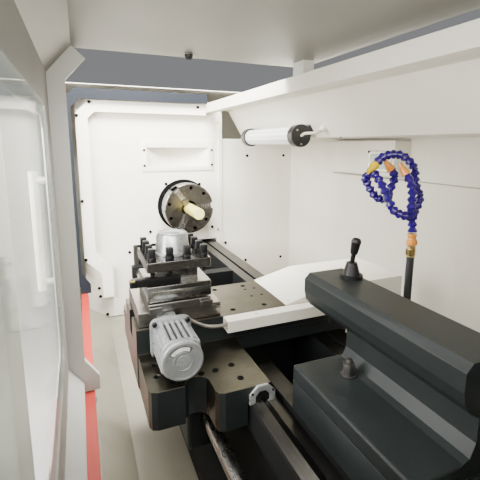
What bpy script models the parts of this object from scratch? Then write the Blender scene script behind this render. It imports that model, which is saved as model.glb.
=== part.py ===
"""CNC turning lathe: guarded flat bed, three-jaw chuck, four-way tool post and tailstock.

x runs along the spindle from the headstock panel towards the tailstock, y to the rear and z up.
All places are measured in metres from the spindle axis where it meets the headstock panel.
"""

import math

import bmesh
import bpy
from mathutils import Matrix, Vector

# General
GAP = 0.0003
OVERRUN = 0.004
SHEET = 0.003
ROUND = 32
SMALL_ROUND = 12

# Guard: the section that the covers, the door and the frame follow
AXIS_HEIGHT = 1.060
GUARD_LEFT_X = -0.650
GUARD_RIGHT_X = 2.190
REAR_Y = 0.643
COVER_FRONT_Y = -0.600
COVER_TOP_Z = 0.590
COVER_CHAMFER = 0.060
COVER_BOTTOM_Z = -1.030
DOOR_FRONT_Y = -0.562
DOOR_TOP_Z = 0.562
DOOR_CHAMFER_Y = 0.062
DOOR_CHAMFER_Z = 0.069
DOOR_REAR_Y = 0.185
DOOR_FOOT_Y = -0.525
DOOR_KNEE_Z = -0.312
DOOR_ANKLE_Z = -0.366
SILL_TOP_Z = -0.396

# Sliding door
DOOR_LEAD_X = 0.853
DOOR_LENGTH = 1.290
DOOR_RIB_WIDTH = 0.020
DOOR_RIB_DEPTH = 0.045
WINDOW_START = 0.260
WINDOW_LENGTH = 0.700
WINDOW_LOW_Z = -0.130
WINDOW_HIGH_Z = 0.370
WINDOW_CORNER = 0.040
WINDOW_LAP = 0.025
GLASS = 0.006
HANDLE_START = 0.060
HANDLE_LENGTH = 0.300
HANDLE_RADIUS = 0.011
HANDLE_REACH = 0.040
HANDLE_MIDDLE_Z = 0.100
BUMPER_RADIUS = 0.012
BUMPER_DEPTH = 0.016
BUMPER_Y = -0.200
HANGER_LENGTH = 0.060
HANGER_INSET = 0.050

# Blue-grey frame, white strip and red sill at the door opening
FRAME_LENGTH = 0.060
FRAME_DEPTH = 0.045
FRAME_RIM = 0.010
STRIP_LENGTH = 0.034
STRIP_OUTER_Y = -0.500
STRIP_WIDTH = 0.052
STRIP_TOP_Z = 0.514
STRIP_CHAMFER = 0.060
STRIP_SLANT = 0.075
STRIP_KNEE_Z = -0.240
STRIP_BOTTOM_Z = -0.440
SILL_BACK_Y = -0.495
SILL_HEIGHT = 0.062

# Headstock panel and the bulkhead behind it
PANEL_JOINT_Y = 0.213
PANEL_LOW_Z = -0.5585
PANEL_HIGH_Z = 0.530
PANEL_OPENING_RADIUS = 0.137
PANEL_FLANGE_WIDTH = 0.018
PANEL_FLANGE_RISE = 0.008
POCKET_LEFT_Y = -0.183
POCKET_RIGHT_Y = 0.141
POCKET_LOW_Z = 0.196
POCKET_HIGH_Z = 0.300
POCKET_DEPTH = 0.050
POCKET_RIM = 0.012
POCKET_RIM_RISE = 0.004
BED_WINDOW_CLEARANCE = 0.012

# Rear wall, roof and what hangs there
ACCESS_LEFT_X = 0.415
ACCESS_RIGHT_X = 1.960
ACCESS_LOW_Z = -0.520
ACCESS_HIGH_Z = 0.185
ACCESS_RISE = 0.010
WALL_OPENING_LAP = 0.040
WALL_BOX_LEFT_X = 0.430
WALL_BOX_LENGTH = 0.454
WALL_BOX_DEPTH = 0.078
WALL_BOX_LOW_Z = 0.200
WALL_BOX_HEIGHT = 0.134
HOOD_FRONT_Y = 0.200
HOOD_TOP_Z = 0.540
HOOD_LIP_Z = 0.500
HOOD_EDGE_Y = 0.251
HOOD_EDGE_Z = 0.487
HOOD_SOFFIT_Y = 0.338
HOOD_SOFFIT_Z = 0.343
BEAM_FRONT_Y = 0.118
BEAM_DEPTH = 0.047
BEAM_LOW_Z = 0.475
BEAM_HIGH_Z = 0.520
BEAM_WALL = 0.006
LAMP_LEFT_X = 0.236
LAMP_SLOPE_SHARE = 0.76
LAMP_LENGTH = 0.483
LAMP_RADIUS = 0.035
LAMP_CAP_RADIUS = 0.042
LAMP_CAP_LENGTH = 0.034
LAMP_CLEARANCE = 0.012
LAMP_EAR_WIDTH = 0.030
LAMP_CABLE_RADIUS = 0.005
GLAND_RADIUS = 0.012
GLAND_LENGTH = 0.022
GLAND_X = 0.800

# Bed and supports
BED_LEFT_X = -0.540
BED_RIGHT_X = 2.060
BED_TOP_Z = -0.205
BED_BOTTOM_Z = -0.5615
BED_OUTER_FRONT_Y = -0.205
VEE_OUTER_Y = -0.203
VEE_APEX_Y = -0.184
VEE_INNER_Y = -0.165
VEE_RISE = 0.012
FRONT_FLAT_Y = -0.130
BED_HOLLOW_FRONT_Y = -0.092
BED_HOLLOW_REAR_Y = 0.073
REAR_GROOVE_Y = 0.110
REAR_FLAT_Y = 0.122
BED_OUTER_REAR_Y = 0.170
WAY_GROOVE = 0.014
WAY_DEPTH = 0.060
WEB_STEP = 0.030
FOOT_FLANGE = 0.050
FOOT_RISE = 0.040
RIB_COUNT = 5
RIB_THICKNESS = 0.050
CHIP_WINDOW_HEIGHT = 0.150
TRAY_FRONT_Y = -0.491
TRAY_BEND_Y = -0.400
TRAY_REAR_Y = 0.600
TRAY_RIM_Z = -0.430
TRAY_SLOPE_Z = -0.500
TRAY_LEFT_X = 0.004
PEDESTAL_WALL = 0.022
PEDESTAL_FRONT_Y = -0.320
PEDESTAL_REAR_Y = 0.420
LEFT_PEDESTAL_START_X = -0.530
LEFT_PEDESTAL_END_X = -0.004
RIGHT_PEDESTAL_START_X = 1.560
RIGHT_PEDESTAL_END_X = 2.060
PEDESTAL_WINDOW_INSET = 0.070
FOOT_PAD_RADIUS = 0.045
FOOT_PAD_HEIGHT = 0.022
FOOT_STEM_RADIUS = 0.015
FOOT_STEM_HEIGHT = 0.028
FOOT_INSET = 0.070

# Headstock, spindle and drive
HEADSTOCK_LEFT_X = -0.500
HEADSTOCK_RIGHT_X = -0.030
HEADSTOCK_HALF_WIDTH = 0.190
HEADSTOCK_TOP_Z = 0.175
HEADSTOCK_CHAMFER = 0.030
BEARING_RADIUS = 0.100
BEARING_WIDTH = 0.042
BEARING_LIP = 0.012
SPINDLE_RADIUS = 0.066
SPINDLE_BORE_RADIUS = 0.041
SPINDLE_LEFT_X = -0.610
SPINDLE_NOSE_X = 0.018
SPINDLE_FLANGE_RADIUS = 0.095
SPINDLE_FLANGE = 0.016
PULLEY_LEFT_X = -0.595
PULLEY_WIDTH = 0.050
PULLEY_RADIUS = 0.100
PULLEY_FLANGE = 0.010
PULLEY_FLANGE_WIDTH = 0.005
BELT = 0.006
MOTOR_LEFT_X = -0.470
MOTOR_LENGTH = 0.340
MOTOR_RADIUS = 0.115
MOTOR_Y = 0.050
MOTOR_Z = -0.860
MOTOR_SHAFT_RADIUS = 0.021
MOTOR_PULLEY_RADIUS = 0.066
MOTOR_RIBS = 12
MOTOR_RIB_DEPTH = 0.010
MOTOR_FOOT = 0.014

# Chuck and bar
CHUCK_RADIUS = 0.125
CHUCK_BACK_X = 0.0185
CHUCK_FACE_X = 0.125
CHUCK_BORE_RADIUS = 0.040
CHUCK_STEP = 0.012
CHUCK_STEP_DEPTH = 0.034
CHUCK_FACE_CHAMFER = 0.004
CHUCK_BOLT_CIRCLE = 0.104
CHUCK_BOLT_RADIUS = 0.009
CHUCK_BOLT_DEPTH = 0.012
JAW_COUNT = 3
JAW_FIRST_ANGLE = 5.0
JAW_WIDTH = 0.034
JAW_SLOT_DEPTH = 0.055
JAW_INNER = 0.0270
JAW_LENGTH = 0.084
JAW_PROUD = 0.004
JAW_STEP_PROUD = 0.017
JAW_STEP_LENGTH = 0.030
BAR_RADIUS = 0.0265
BAR_LEFT_X = -0.150
BAR_END_X = 0.293

# Carriage
SADDLE_LEFT_X = 0.927
SADDLE_RIGHT_X = 1.134
SADDLE_TOP_Z = -0.106
SADDLE_FRONT_Y = -0.400
SADDLE_REAR_Y = 0.190
SADDLE_SKIRT_Z = -0.252
WING_TOP_Z = -0.167
WING_LEFT_X = 0.815
WING_RIGHT_X = 1.341
WING_FRONT_Y = -0.398
WING_REAR_Y = -0.158
WING_NOTCH_Y = -0.300
WING_NOTCH_RADIUS = 0.026
WING_LOBE_X = 1.289
WING_CORNER = 0.016
CROSS_SLOT_LEFT_X = 1.010
CROSS_SLOT_WIDTH = 0.042
CROSS_SLOT_END_Y = -0.178
CROSS_SLOT_FLOOR_Z = -0.162
CROSS_SCREW_Z = -0.138
CROSS_SCREW_RADIUS = 0.010
SCREW_CLEARANCE = 0.0015
SADDLE_HOLE_RADIUS = 0.0075
SADDLE_HOLE_DEPTH = 0.014
APRON_LEFT_X = 0.960
APRON_LENGTH = 0.240
APRON_BOTTOM_Z = -0.400
APRON_FRONT_Y = -0.300
APRON_REAR_Y = -0.212
FEED_SCREW_RADIUS = 0.016
FEED_SCREW_Y = -0.252
FEED_SCREW_Z = -0.320
FEED_SCREW_LEFT_X = 0.030
FEED_MOTOR_X = 2.075
FEED_MOTOR_SIZE = 0.110
FEED_MOTOR_LENGTH = 0.105
FEED_BLOCK = 0.044
CROSS_MOTOR_SIZE = 0.092
CROSS_MOTOR_LENGTH = 0.140
COVER_START_Y = -0.010
COVER_BEND_Y = 0.117
COVER_RAISED_Z = -0.073
COVER_END_Y = 0.390
COVER_SKIRT_Z = -0.150
COVER_SHEET = 0.002
DUCT_WIDTH = 0.034
DUCT_HEIGHT = 0.030
DUCT_WALL = 0.002
DUCT_START_Y = -0.188
DUCT_END_Y = 0.130
WIPER_THICKNESS = 0.004
WIPER_FRONT_Y = -0.255
WIPER_REAR_Y = -0.160
WIPER_LOW_Z = -0.215
WIPER_NOTCH = 0.030

# Cross slide and tool post
SLIDE_LEFT_X = 0.940
SLIDE_RIGHT_X = 1.123
SLIDE_FRONT_Y = -0.392
SLIDE_REAR_Y = -0.190
SLIDE_TOP_Z = -0.071
NUT_LENGTH = 0.030
NUT_WIDTH = 0.030
POST_X = 1.0550
POST_Y = -0.2935
POST_SIZE = 0.152
POST_SEAT_Z = -0.020
POST_BASE_LOW_Z = -0.050
POST_STEM_RADIUS = 0.058
POST_CORE_SIZE = 0.100
POST_FLOOR = 0.012
POST_PLATE_LOW_Z = 0.026
POST_PLATE_HIGH_Z = 0.050
POST_LUG_LENGTH = 0.030
POST_LUG_WIDTH = 0.026
POST_LUG_HEIGHT = 0.018
BOLTS_PER_EDGE = 4
BOLT_INSET = 0.014
BOLT_HEAD = 0.012
BOLT_HEAD_HEIGHT = 0.017
BOLT_COLLAR_RADIUS = 0.0085
BOLT_COLLAR_HEIGHT = 0.010
BOLT_SHANK_RADIUS = 0.006
CAP_RADIUS = 0.042
CAP_FLANGE_RADIUS = 0.048
CAP_FLANGE_HEIGHT = 0.010
CAP_HEIGHT = 0.060
CAP_TOP_RADIUS = 0.026
TOOL_SIZE = 0.020
TOOL_OVERHANG = 0.038
TOOL_CLEARANCE = 0.002
INSERT_SIDE = 0.012
INSERT_THICKNESS = 0.004
MOTOR_POST_Y = -0.335
MOTOR_POST_Z = -0.115
MOTOR_POST_END_X = 1.293
MOTOR_POST_START_X = 1.174
MOTOR_POST_RADIUS = 0.040
MOTOR_POST_FLANGE = 0.046
MOTOR_POST_CAP_LENGTH = 0.022
MOTOR_POST_FINS = 14
MOTOR_POST_FIN_DEPTH = 0.003
MOTOR_ARM_WIDTH = 0.040
CONDUIT_RADIUS = 0.0065
CONDUIT_PITCH = 0.0125
CONDUIT_REACH = 0.030

# Tailstock and coolant supply
TAIL_START_X = 1.293
TAIL_LENGTH = 0.390
TAIL_HALF_WIDTH = 0.055
TAIL_TOP_Z = 0.040
TAIL_BOTTOM_Z = -0.048
TAIL_SHOULDER = 0.012
TAIL_WEB_START_X = 1.400
TAIL_WEB_FRONT_Y = -0.020
TAIL_WEB_REAR_Y = 0.050
TAIL_WEB_FLARE = 0.030
TAIL_BASE_START_X = 1.383
TAIL_BASE_LENGTH = 0.300
TAIL_BASE_FRONT_Y = -0.132
TAIL_BASE_REAR_Y = 0.160
TAIL_BASE_TOP_Z = -0.110
TAIL_BASE_STEP = 0.030
QUILL_RADIUS = 0.030
QUILL_PROUD = 0.008
QUILL_LENGTH = 0.300
QUILL_TAPER_RADIUS = 0.012
QUILL_TAPER_DEPTH = 0.080
QUILL_SCREW_RADIUS = 0.010
QUILL_SCREW_DEPTH = 0.140
TAIL_PLATE = 0.014
HANDWHEEL_RADIUS = 0.085
HANDWHEEL_RIM = 0.010
HANDWHEEL_HUB_RADIUS = 0.020
HANDWHEEL_HUB_LENGTH = 0.034
HANDWHEEL_SPOKE = 0.014
HANDWHEEL_X = 1.720
CRANK_RADIUS = 0.010
CRANK_LENGTH = 0.060
LEVER_X = 1.351
LEVER_Y = 0.023
LEVER_TILT = 12.0
LEVER_FLANGE_RADIUS = 0.024
LEVER_FLANGE_HEIGHT = 0.006
LEVER_CONE_LOW_RADIUS = 0.018
LEVER_CONE_HIGH_RADIUS = 0.011
LEVER_CONE_HEIGHT = 0.032
LEVER_ROD_RADIUS = 0.005
LEVER_ROD_LENGTH = 0.024
GRIP_LOW_RADIUS = 0.008
GRIP_HIGH_RADIUS = 0.0105
GRIP_LENGTH = 0.036
CLAMP_X = 1.448
CLAMP_Y = -0.072
CLAMP_NUT_RADIUS = 0.019
CLAMP_NUT_HEIGHT = 0.022
CLAMP_WASHER_RADIUS = 0.026
CLAMP_WASHER = 0.005
CLAMP_STUD_RADIUS = 0.010
CLAMP_STUD_PROUD = 0.012
PIPE_X = 1.403
PIPE_Y = 0.130
PIPE_RADIUS = 0.008
PIPE_TOP_Z = 0.089
FITTING_RADIUS = 0.0105
FITTING_LENGTH = 0.024
ADAPTER_RADIUS = 0.011
ADAPTER_TOP_RADIUS = 0.0085
ADAPTER_LENGTH = 0.026
HOSE_THICK_RADIUS = 0.0085
HOSE_THIN_RADIUS = 0.0055
HOSE_SEGMENT = 0.0125
HOSE_SIDES = 6
NOZZLE_TIP_RADIUS = 0.0035
NOZZLE_LENGTHS = (0.028, 0.016, 0.028)

# Operator's panel
CONTROL_LEFT_X = 1.520
CONTROL_LENGTH = 0.460
CONTROL_LOW_Z = 0.020
CONTROL_HEIGHT = 0.430
CONTROL_DEPTH = 0.095
CONTROL_CORNER = 0.012
SCREEN_INSET_X = 0.040
SCREEN_LENGTH = 0.230
SCREEN_HEIGHT = 0.170
SCREEN_DROP = 0.040
SCREEN_DEPTH = 0.004
STOP_RADIUS = 0.020
STOP_NECK_RADIUS = 0.011
STOP_HEAD = 0.012
STOP_NECK = 0.014
STOP_DEPTH = 0.012
STOP_TRAVEL = 0.005
BUTTON_RADIUS = 0.011
BUTTON_HEIGHT = 0.012
BUTTON_TRAVEL = 0.003
DIAL_RADIUS = 0.030
DIAL_HEIGHT = 0.016
CONTROL_ROW_Z = 0.110
CONTROL_PITCH = 0.085

for leftover in list(bpy.data.objects):
    bpy.data.objects.remove(leftover, do_unlink=True)


# Shapes


def shape(bm, name="shape"):
    """An object from a mesh under construction, with its faces turned out."""
    bmesh.ops.recalc_face_normals(bm, faces=bm.faces)
    mesh = bpy.data.meshes.new(name)
    bm.to_mesh(mesh)
    bm.free()
    made = bpy.data.objects.new(name, mesh)
    bpy.context.scene.collection.objects.link(made)
    return made


def along(axis, flat, run):
    """The point that lies run along the axis and at the flat pair across it."""
    if axis == "X":
        return Vector((run, flat[0], flat[1]))
    if axis == "Y":
        return Vector((flat[0], run, flat[1]))
    return Vector((flat[0], flat[1], run))


def prism(outline, axis, start, end):
    """The outline carried along one axis. It lists (y, z), (x, z) or (x, y)."""
    bm = bmesh.new()
    low = [bm.verts.new(along(axis, point, start)) for point in outline]
    high = [bm.verts.new(along(axis, point, end)) for point in outline]
    bm.faces.new(low)
    bm.faces.new(high)
    for i in range(len(outline)):
        bm.faces.new((low[i], low[i - 1], high[i - 1], high[i]))
    return shape(bm)


def block(x_span, y_span, z_span, round_by=0, segments=2):
    corners = [(y_span[i], z_span[j]) for i, j in ((0, 0), (1, 0), (1, 1), (0, 1))]
    made = prism(corners, "X", *x_span)
    return softened(made, round_by, segments) if round_by else made


def softened(made, width, segments=2):
    """The same solid with its sharp edges rounded."""
    bevel = made.modifiers.new("Bevel", "BEVEL")
    bevel.width = width
    bevel.segments = segments
    bevel.limit_method = "ANGLE"
    return applied(made)


def applied(made):
    graph = bpy.context.evaluated_depsgraph_get()
    mesh = bpy.data.meshes.new_from_object(made.evaluated_get(graph))
    made.modifiers.clear()
    made.data = mesh
    return made


def turned(profile, axis, centre, steps=ROUND, phase=0.0, closed=False):
    """A turned solid. The profile lists (run, radius) pairs; a closed one makes a ring."""
    bm = bmesh.new()
    rings = []
    for run, radius in profile:
        count = steps if radius > 0 else 1
        ring = []
        for i in range(count):
            angle = phase + math.tau * i / steps
            flat = (centre[0] + radius * math.cos(angle), centre[1] + radius * math.sin(angle))
            ring.append(bm.verts.new(along(axis, flat, run)))
        rings.append(ring)
    pairs = list(zip(rings, rings[1:]))
    if closed:
        pairs.append((rings[-1], rings[0]))
    for low, high in pairs:
        for i in range(steps):
            a, b = low[i % len(low)], low[(i + 1) % len(low)]
            c, d = high[(i + 1) % len(high)], high[i % len(high)]
            corners = list(dict.fromkeys((a, b, c, d)))
            bm.faces.new(corners)
    if not closed:
        for ring in (rings[0], rings[-1]):
            if len(ring) > 1:
                bm.faces.new(ring)
    return shape(bm)


def rod(axis, centre, start, end, radius, steps=ROUND, phase=0.0):
    return turned([(start, radius), (end, radius)], axis, centre, steps, phase)


def tube(axis, centre, start, end, outer, inner, steps=ROUND):
    profile = [(start, outer), (end, outer), (end, inner), (start, inner)]
    return turned(profile, axis, centre, steps, closed=True)


def offset_path(path, thickness):
    """The path moved to its left by thickness, with mitred corners."""
    normals = []
    for start, end in zip(path, path[1:]):
        run = Vector(end) - Vector(start)
        normals.append(Vector((-run.y, run.x)).normalized())
    moved = []
    for i, point in enumerate(path):
        before = normals[max(i - 1, 0)]
        after = normals[min(i, len(normals) - 1)]
        mitre = before + after
        moved.append(Vector(point) + mitre * (2 * thickness / mitre.dot(mitre)))
    return [tuple(point) for point in moved]


def folded(path, thickness, axis, start, end):
    """Folded sheet: the path is its outer face and the thickness goes to its left."""
    return prism(list(path) + offset_path(path, thickness)[::-1], axis, start, end)


def swept(points, radii, steps):
    """A round tube through the points, with its own radius at each."""
    bm = bmesh.new()
    rings = []
    side = Vector((1, 0, 0))
    for i, point in enumerate(points):
        heading = (points[min(i + 1, len(points) - 1)] - points[max(i - 1, 0)]).normalized()
        side = (side - heading * side.dot(heading)).normalized()
        other = heading.cross(side)
        turn = [math.tau * k / steps for k in range(steps)]
        rings.append(
            [bm.verts.new(point + radii[i] * (side * math.cos(a) + other * math.sin(a))) for a in turn]
        )
    for low, high in zip(rings, rings[1:]):
        for k in range(steps):
            bm.faces.new((low[k - 1], low[k], high[k], high[k - 1]))
    bm.faces.new(rings[0])
    bm.faces.new(rings[-1])
    return shape(bm)


def smooth_route(points, step):
    """Points one step apart on the Catmull-Rom curve through the given ones."""
    ends = [points[0] * 2 - points[1]] + list(points) + [points[-1] * 2 - points[-2]]
    fine = []
    pieces = 12
    for a, b, c, d in zip(ends, ends[1:], ends[2:], ends[3:]):
        for k in range(pieces):
            t = k / pieces
            fine.append(
                0.5 * (2 * b + (c - a) * t + (2 * a - 5 * b + 4 * c - d) * t**2 + (3 * b - a - 3 * c + d) * t**3)
            )
    fine.append(points[-1])
    lengths = [0.0]
    for a, b in zip(fine, fine[1:]):
        lengths.append(lengths[-1] + (b - a).length)
    count = max(2, round(lengths[-1] / step))
    route = []
    at = 0
    for k in range(count + 1):
        want = lengths[-1] * k / count
        while at < len(fine) - 2 and lengths[at + 1] < want:
            at += 1
        share = (want - lengths[at]) / (lengths[at + 1] - lengths[at])
        route.append(fine[at].lerp(fine[at + 1], share))
    return route


def boolean(base, others, operation):
    for other in others:
        modifier = base.modifiers.new("Boolean", "BOOLEAN")
        modifier.operation = operation
        modifier.object = other
    applied(base)
    for other in others:
        bpy.data.objects.remove(other, do_unlink=True)
    return base


def joined(base, *others):
    return boolean(base, others, "UNION")


def cut(base, *cutters):
    return boolean(base, cutters, "DIFFERENCE")


def turn_about(made, angle, axis, centre):
    """The solid turned by the angle in degrees about an axis through the centre."""
    centre = Vector(centre)
    turn = Matrix.Translation(centre) @ Matrix.Rotation(math.radians(angle), 4, axis)
    made.data.transform(turn @ Matrix.Translation(-centre))
    return made


def ring_of(count, first=0.0):
    return [math.radians(first) + math.tau * i / count for i in range(count)]


# Materials: colour, roughness and metallic value

PAINTS = {
    "white_paint": ((0.80, 0.78, 0.74), 0.45, 0.0),
    "blue_grey_paint": ((0.055, 0.075, 0.11), 0.45, 0.0),
    "red_paint": ((0.75, 0.20, 0.15), 0.45, 0.0),
    "tray_paint": ((0.70, 0.66, 0.58), 0.50, 0.0),
    "dark_paint": ((0.045, 0.050, 0.058), 0.40, 0.0),
    "cast_paint": ((0.30, 0.31, 0.32), 0.55, 0.0),
    "ground_steel": ((0.42, 0.38, 0.34), 0.30, 1.0),
    "black_steel": ((0.03, 0.03, 0.03), 0.40, 1.0),
    "bright_steel": ((0.65, 0.64, 0.62), 0.25, 1.0),
    "cast_aluminium": ((0.52, 0.53, 0.54), 0.45, 0.6),
    "yellow_bar": ((0.85, 0.80, 0.42), 0.45, 0.2),
    "black_rubber": ((0.02, 0.02, 0.02), 0.75, 0.0),
    "beige_cable": ((0.70, 0.66, 0.56), 0.50, 0.0),
    "blue_plastic": ((0.02, 0.02, 0.45), 0.30, 0.0),
    "lamp_glass": ((0.85, 0.88, 0.90), 0.15, 0.0),
    "window_glass": ((0.55, 0.62, 0.60), 0.08, 0.0),
    "red_plastic": ((0.70, 0.03, 0.02), 0.35, 0.0),
    "green_plastic": ((0.03, 0.45, 0.10), 0.35, 0.0),
}


def painted(name):
    colour, roughness, metallic = PAINTS[name]
    made = bpy.data.materials.new(name)
    made.use_nodes = True
    shader = made.node_tree.nodes["Principled BSDF"]
    shader.inputs["Base Color"].default_value = (*colour, 1.0)
    shader.inputs["Roughness"].default_value = roughness
    shader.inputs["Metallic"].default_value = metallic
    made.diffuse_color = (*colour, 1.0)
    return made


# Bodies: each is an empty on its joint's axis, under one empty for the machine

CONTROL_FACE_Y = COVER_FRONT_Y - GAP - CONTROL_DEPTH
FRONTMOST_Y = CONTROL_FACE_Y - STOP_NECK - STOP_HEAD
MIDDLE = Vector(((GUARD_LEFT_X + GUARD_RIGHT_X) / 2, (FRONTMOST_Y + REAR_Y) / 2, -AXIS_HEIGHT))
BARREL_TOP = TAIL_TOP_Z + GAP
BODY_PARENTS = {}


def body(name, parent, anchor):
    """An empty at the anchor, which is in the machine's own places."""
    made = bpy.data.objects.new(name, None)
    bpy.context.scene.collection.objects.link(made)
    anchor = Vector(anchor)
    if parent:
        made.parent, above = BODY_PARENTS[parent]
        made.location = anchor - above
    else:
        made.location = anchor - MIDDLE
    BODY_PARENTS[name] = (made, anchor)
    made["anchor"] = anchor


def bodies():
    tree = (
        ("machine", None, (0, 0, 0)),
        ("spindle_body", "machine", (0, 0, 0)),
        ("motor_shaft_body", "machine", (MOTOR_LEFT_X, MOTOR_Y, MOTOR_Z)),
        ("door_body", "machine", (DOOR_LEAD_X, DOOR_FRONT_Y, 0)),
        ("feed_screw_body", "machine", (FEED_SCREW_LEFT_X, FEED_SCREW_Y, FEED_SCREW_Z)),
        ("carriage_body", "machine", (SADDLE_LEFT_X, 0, SADDLE_TOP_Z)),
        ("cross_screw_body", "carriage_body", (CROSS_X, SADDLE_REAR_Y, CROSS_SCREW_Z)),
        ("cross_body", "carriage_body", (POST_X, SLIDE_REAR_Y, SADDLE_TOP_Z)),
        ("post_body", "cross_body", (POST_X, POST_Y, POST_SEAT_Z)),
        ("tailstock_body", "machine", (TAIL_BASE_START_X, 0, BED_TOP_Z)),
        ("quill_body", "tailstock_body", (TAIL_START_X, 0, 0)),
        ("handwheel_body", "tailstock_body", (HANDWHEEL_X, 0, 0)),
        ("lever_body", "tailstock_body", (LEVER_X, LEVER_Y, BARREL_TOP)),
        ("stop_body", "machine", (STOP_X, CONTROL_FACE_Y, CONTROL_ROW)),
        ("start_body", "machine", (START_X, CONTROL_FACE_Y, CONTROL_ROW)),
        ("dial_body", "machine", (DIAL_X, CONTROL_FACE_Y, CONTROL_ROW)),
    )
    for name, parent, anchor in tree:
        body(name, parent, anchor)
    for i, angle in enumerate(ring_of(JAW_COUNT, JAW_FIRST_ANGLE)):
        reach = JAW_INNER + JAW_LENGTH / 2
        anchor = (CHUCK_FACE_X, reach * math.cos(angle), reach * math.sin(angle))
        body(f"jaw_body_{i + 1}", "spindle_body", anchor)


def node(name, made, material, carrier="machine"):
    """The finished piece: named, painted and carried by its body's empty."""
    parent, anchor = BODY_PARENTS[carrier]
    if made.type == "MESH":
        made.data.transform(Matrix.Translation(-anchor))
        made.data.shade_smooth()
        made.data.set_sharp_from_angle(angle=math.radians(35))
    else:
        made.location = -anchor
    made.parent = parent
    made.name = name
    made.data.name = name
    made.data.materials.clear()
    made.data.materials.append(painted_once(material))
    return made


def painted_once(name):
    return bpy.data.materials.get(name) or painted(name)


# Places that several pieces share

CROSS_X = CROSS_SLOT_LEFT_X + CROSS_SLOT_WIDTH / 2
CONTROL_ROW = CONTROL_LOW_Z + CONTROL_ROW_Z
STOP_X = CONTROL_LEFT_X + CONTROL_LENGTH - CONTROL_PITCH / 2
START_X = STOP_X - CONTROL_PITCH
DIAL_X = START_X - CONTROL_PITCH
SHEET_INNER_REAR_Y = REAR_Y - SHEET
RIGHT_INNER_X = GUARD_RIGHT_X - SHEET
TRAY_FLOOR_Z = BED_BOTTOM_Z - GAP
FITTING_TOP_Z = PIPE_TOP_Z - OVERRUN / 2 + FITTING_LENGTH
PEDESTAL_LOW_Z = -AXIS_HEIGHT + FOOT_PAD_HEIGHT + FOOT_STEM_HEIGHT

DOOR_SECTION = [
    (DOOR_REAR_Y, DOOR_TOP_Z),
    (DOOR_FRONT_Y + DOOR_CHAMFER_Y, DOOR_TOP_Z),
    (DOOR_FRONT_Y, DOOR_TOP_Z - DOOR_CHAMFER_Z),
    (DOOR_FRONT_Y, DOOR_KNEE_Z),
    (DOOR_FOOT_Y, DOOR_ANKLE_Z),
    (DOOR_FOOT_Y, SILL_TOP_Z + GAP),
]


def cover_section(bottom):
    """The outer covers' section from the roof's rear edge down the front."""
    return [
        (HOOD_FRONT_Y - 2 * SHEET, COVER_TOP_Z),
        (COVER_FRONT_Y + COVER_CHAMFER, COVER_TOP_Z),
        (COVER_FRONT_Y, COVER_TOP_Z - COVER_CHAMFER),
        (COVER_FRONT_Y, bottom),
    ]


# Guard


def left_cover():
    """Folded cover of the headstock compartment, closed by its end plate."""
    path = [(REAR_Y, COVER_BOTTOM_Z), (REAR_Y, COVER_TOP_Z)] + cover_section(COVER_BOTTOM_Z)[1:]
    shell = folded(path, SHEET, "X", GUARD_LEFT_X, -GAP)
    end = prism(path, "X", GUARD_LEFT_X, GUARD_LEFT_X + SHEET)
    return joined(shell, end)


def right_cover():
    """Fixed cover over the door's parked half, welded to the machine's right end plate."""
    outline = [(REAR_Y, COVER_BOTTOM_Z), (REAR_Y, COVER_TOP_Z)] + cover_section(COVER_BOTTOM_Z)[1:]
    end = prism(outline, "X", RIGHT_INNER_X, GUARD_RIGHT_X)
    start = DOOR_LEAD_X + DOOR_LENGTH - DOOR_RIB_DEPTH - DOOR_LENGTH / 2
    shell = folded(cover_section(SILL_TOP_Z), SHEET, "X", start, GUARD_RIGHT_X - SHEET / 2)
    lip = folded(cover_section(SILL_TOP_Z), DOOR_RIB_WIDTH, "X", start, start + SHEET)
    return joined(shell, lip, end)


def base_skirt():
    """Folded front apron below the door sill, with a toe recess."""
    face = DOOR_FOOT_Y - GAP
    toe = DOOR_FRONT_Y
    path = [
        (face, SILL_TOP_Z - SILL_HEIGHT / 2),
        (face, SILL_TOP_Z - SILL_HEIGHT),
        (toe, SILL_TOP_Z - SILL_HEIGHT - DOOR_CHAMFER_Z),
        (toe, COVER_BOTTOM_Z + DOOR_RIB_DEPTH + DOOR_CHAMFER_Z),
        (face, COVER_BOTTOM_Z + DOOR_RIB_DEPTH),
        (face, COVER_BOTTOM_Z),
    ]
    return folded(path, -SHEET, "X", GAP, RIGHT_INNER_X - GAP)


def rear_wall():
    """Flat rear sheet, open behind the access panel."""
    wall = block((GAP, RIGHT_INNER_X - GAP), (SHEET_INNER_REAR_Y, REAR_Y), (COVER_BOTTOM_Z, COVER_TOP_Z))
    lap = WALL_OPENING_LAP
    opening = block(
        (ACCESS_LEFT_X + lap, ACCESS_RIGHT_X - lap),
        (SHEET_INNER_REAR_Y - OVERRUN, REAR_Y + OVERRUN),
        (ACCESS_LOW_Z + lap, ACCESS_HIGH_Z - lap),
    )
    return joined(cut(wall, opening), access_panel(), wall_box())


def access_panel():
    """Shallow pan riveted over the rear opening, its edge turned to the wall."""
    back = SHEET_INNER_REAR_Y + SHEET / 2
    x_span = (ACCESS_LEFT_X, ACCESS_RIGHT_X)
    pan = block(x_span, (back - ACCESS_RISE, back), (ACCESS_LOW_Z, ACCESS_HIGH_Z), SHEET)
    hollow = block(
        (x_span[0] + SHEET, x_span[1] - SHEET),
        (back - ACCESS_RISE + SHEET, back + OVERRUN),
        (ACCESS_LOW_Z + SHEET, ACCESS_HIGH_Z - SHEET),
    )
    return cut(pan, hollow)


def wall_box():
    back = SHEET_INNER_REAR_Y + SHEET / 2
    return block(
        (WALL_BOX_LEFT_X, WALL_BOX_LEFT_X + WALL_BOX_LENGTH),
        (back - WALL_BOX_DEPTH, back),
        (WALL_BOX_LOW_Z, WALL_BOX_LOW_Z + WALL_BOX_HEIGHT),
        SHEET,
    )


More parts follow.
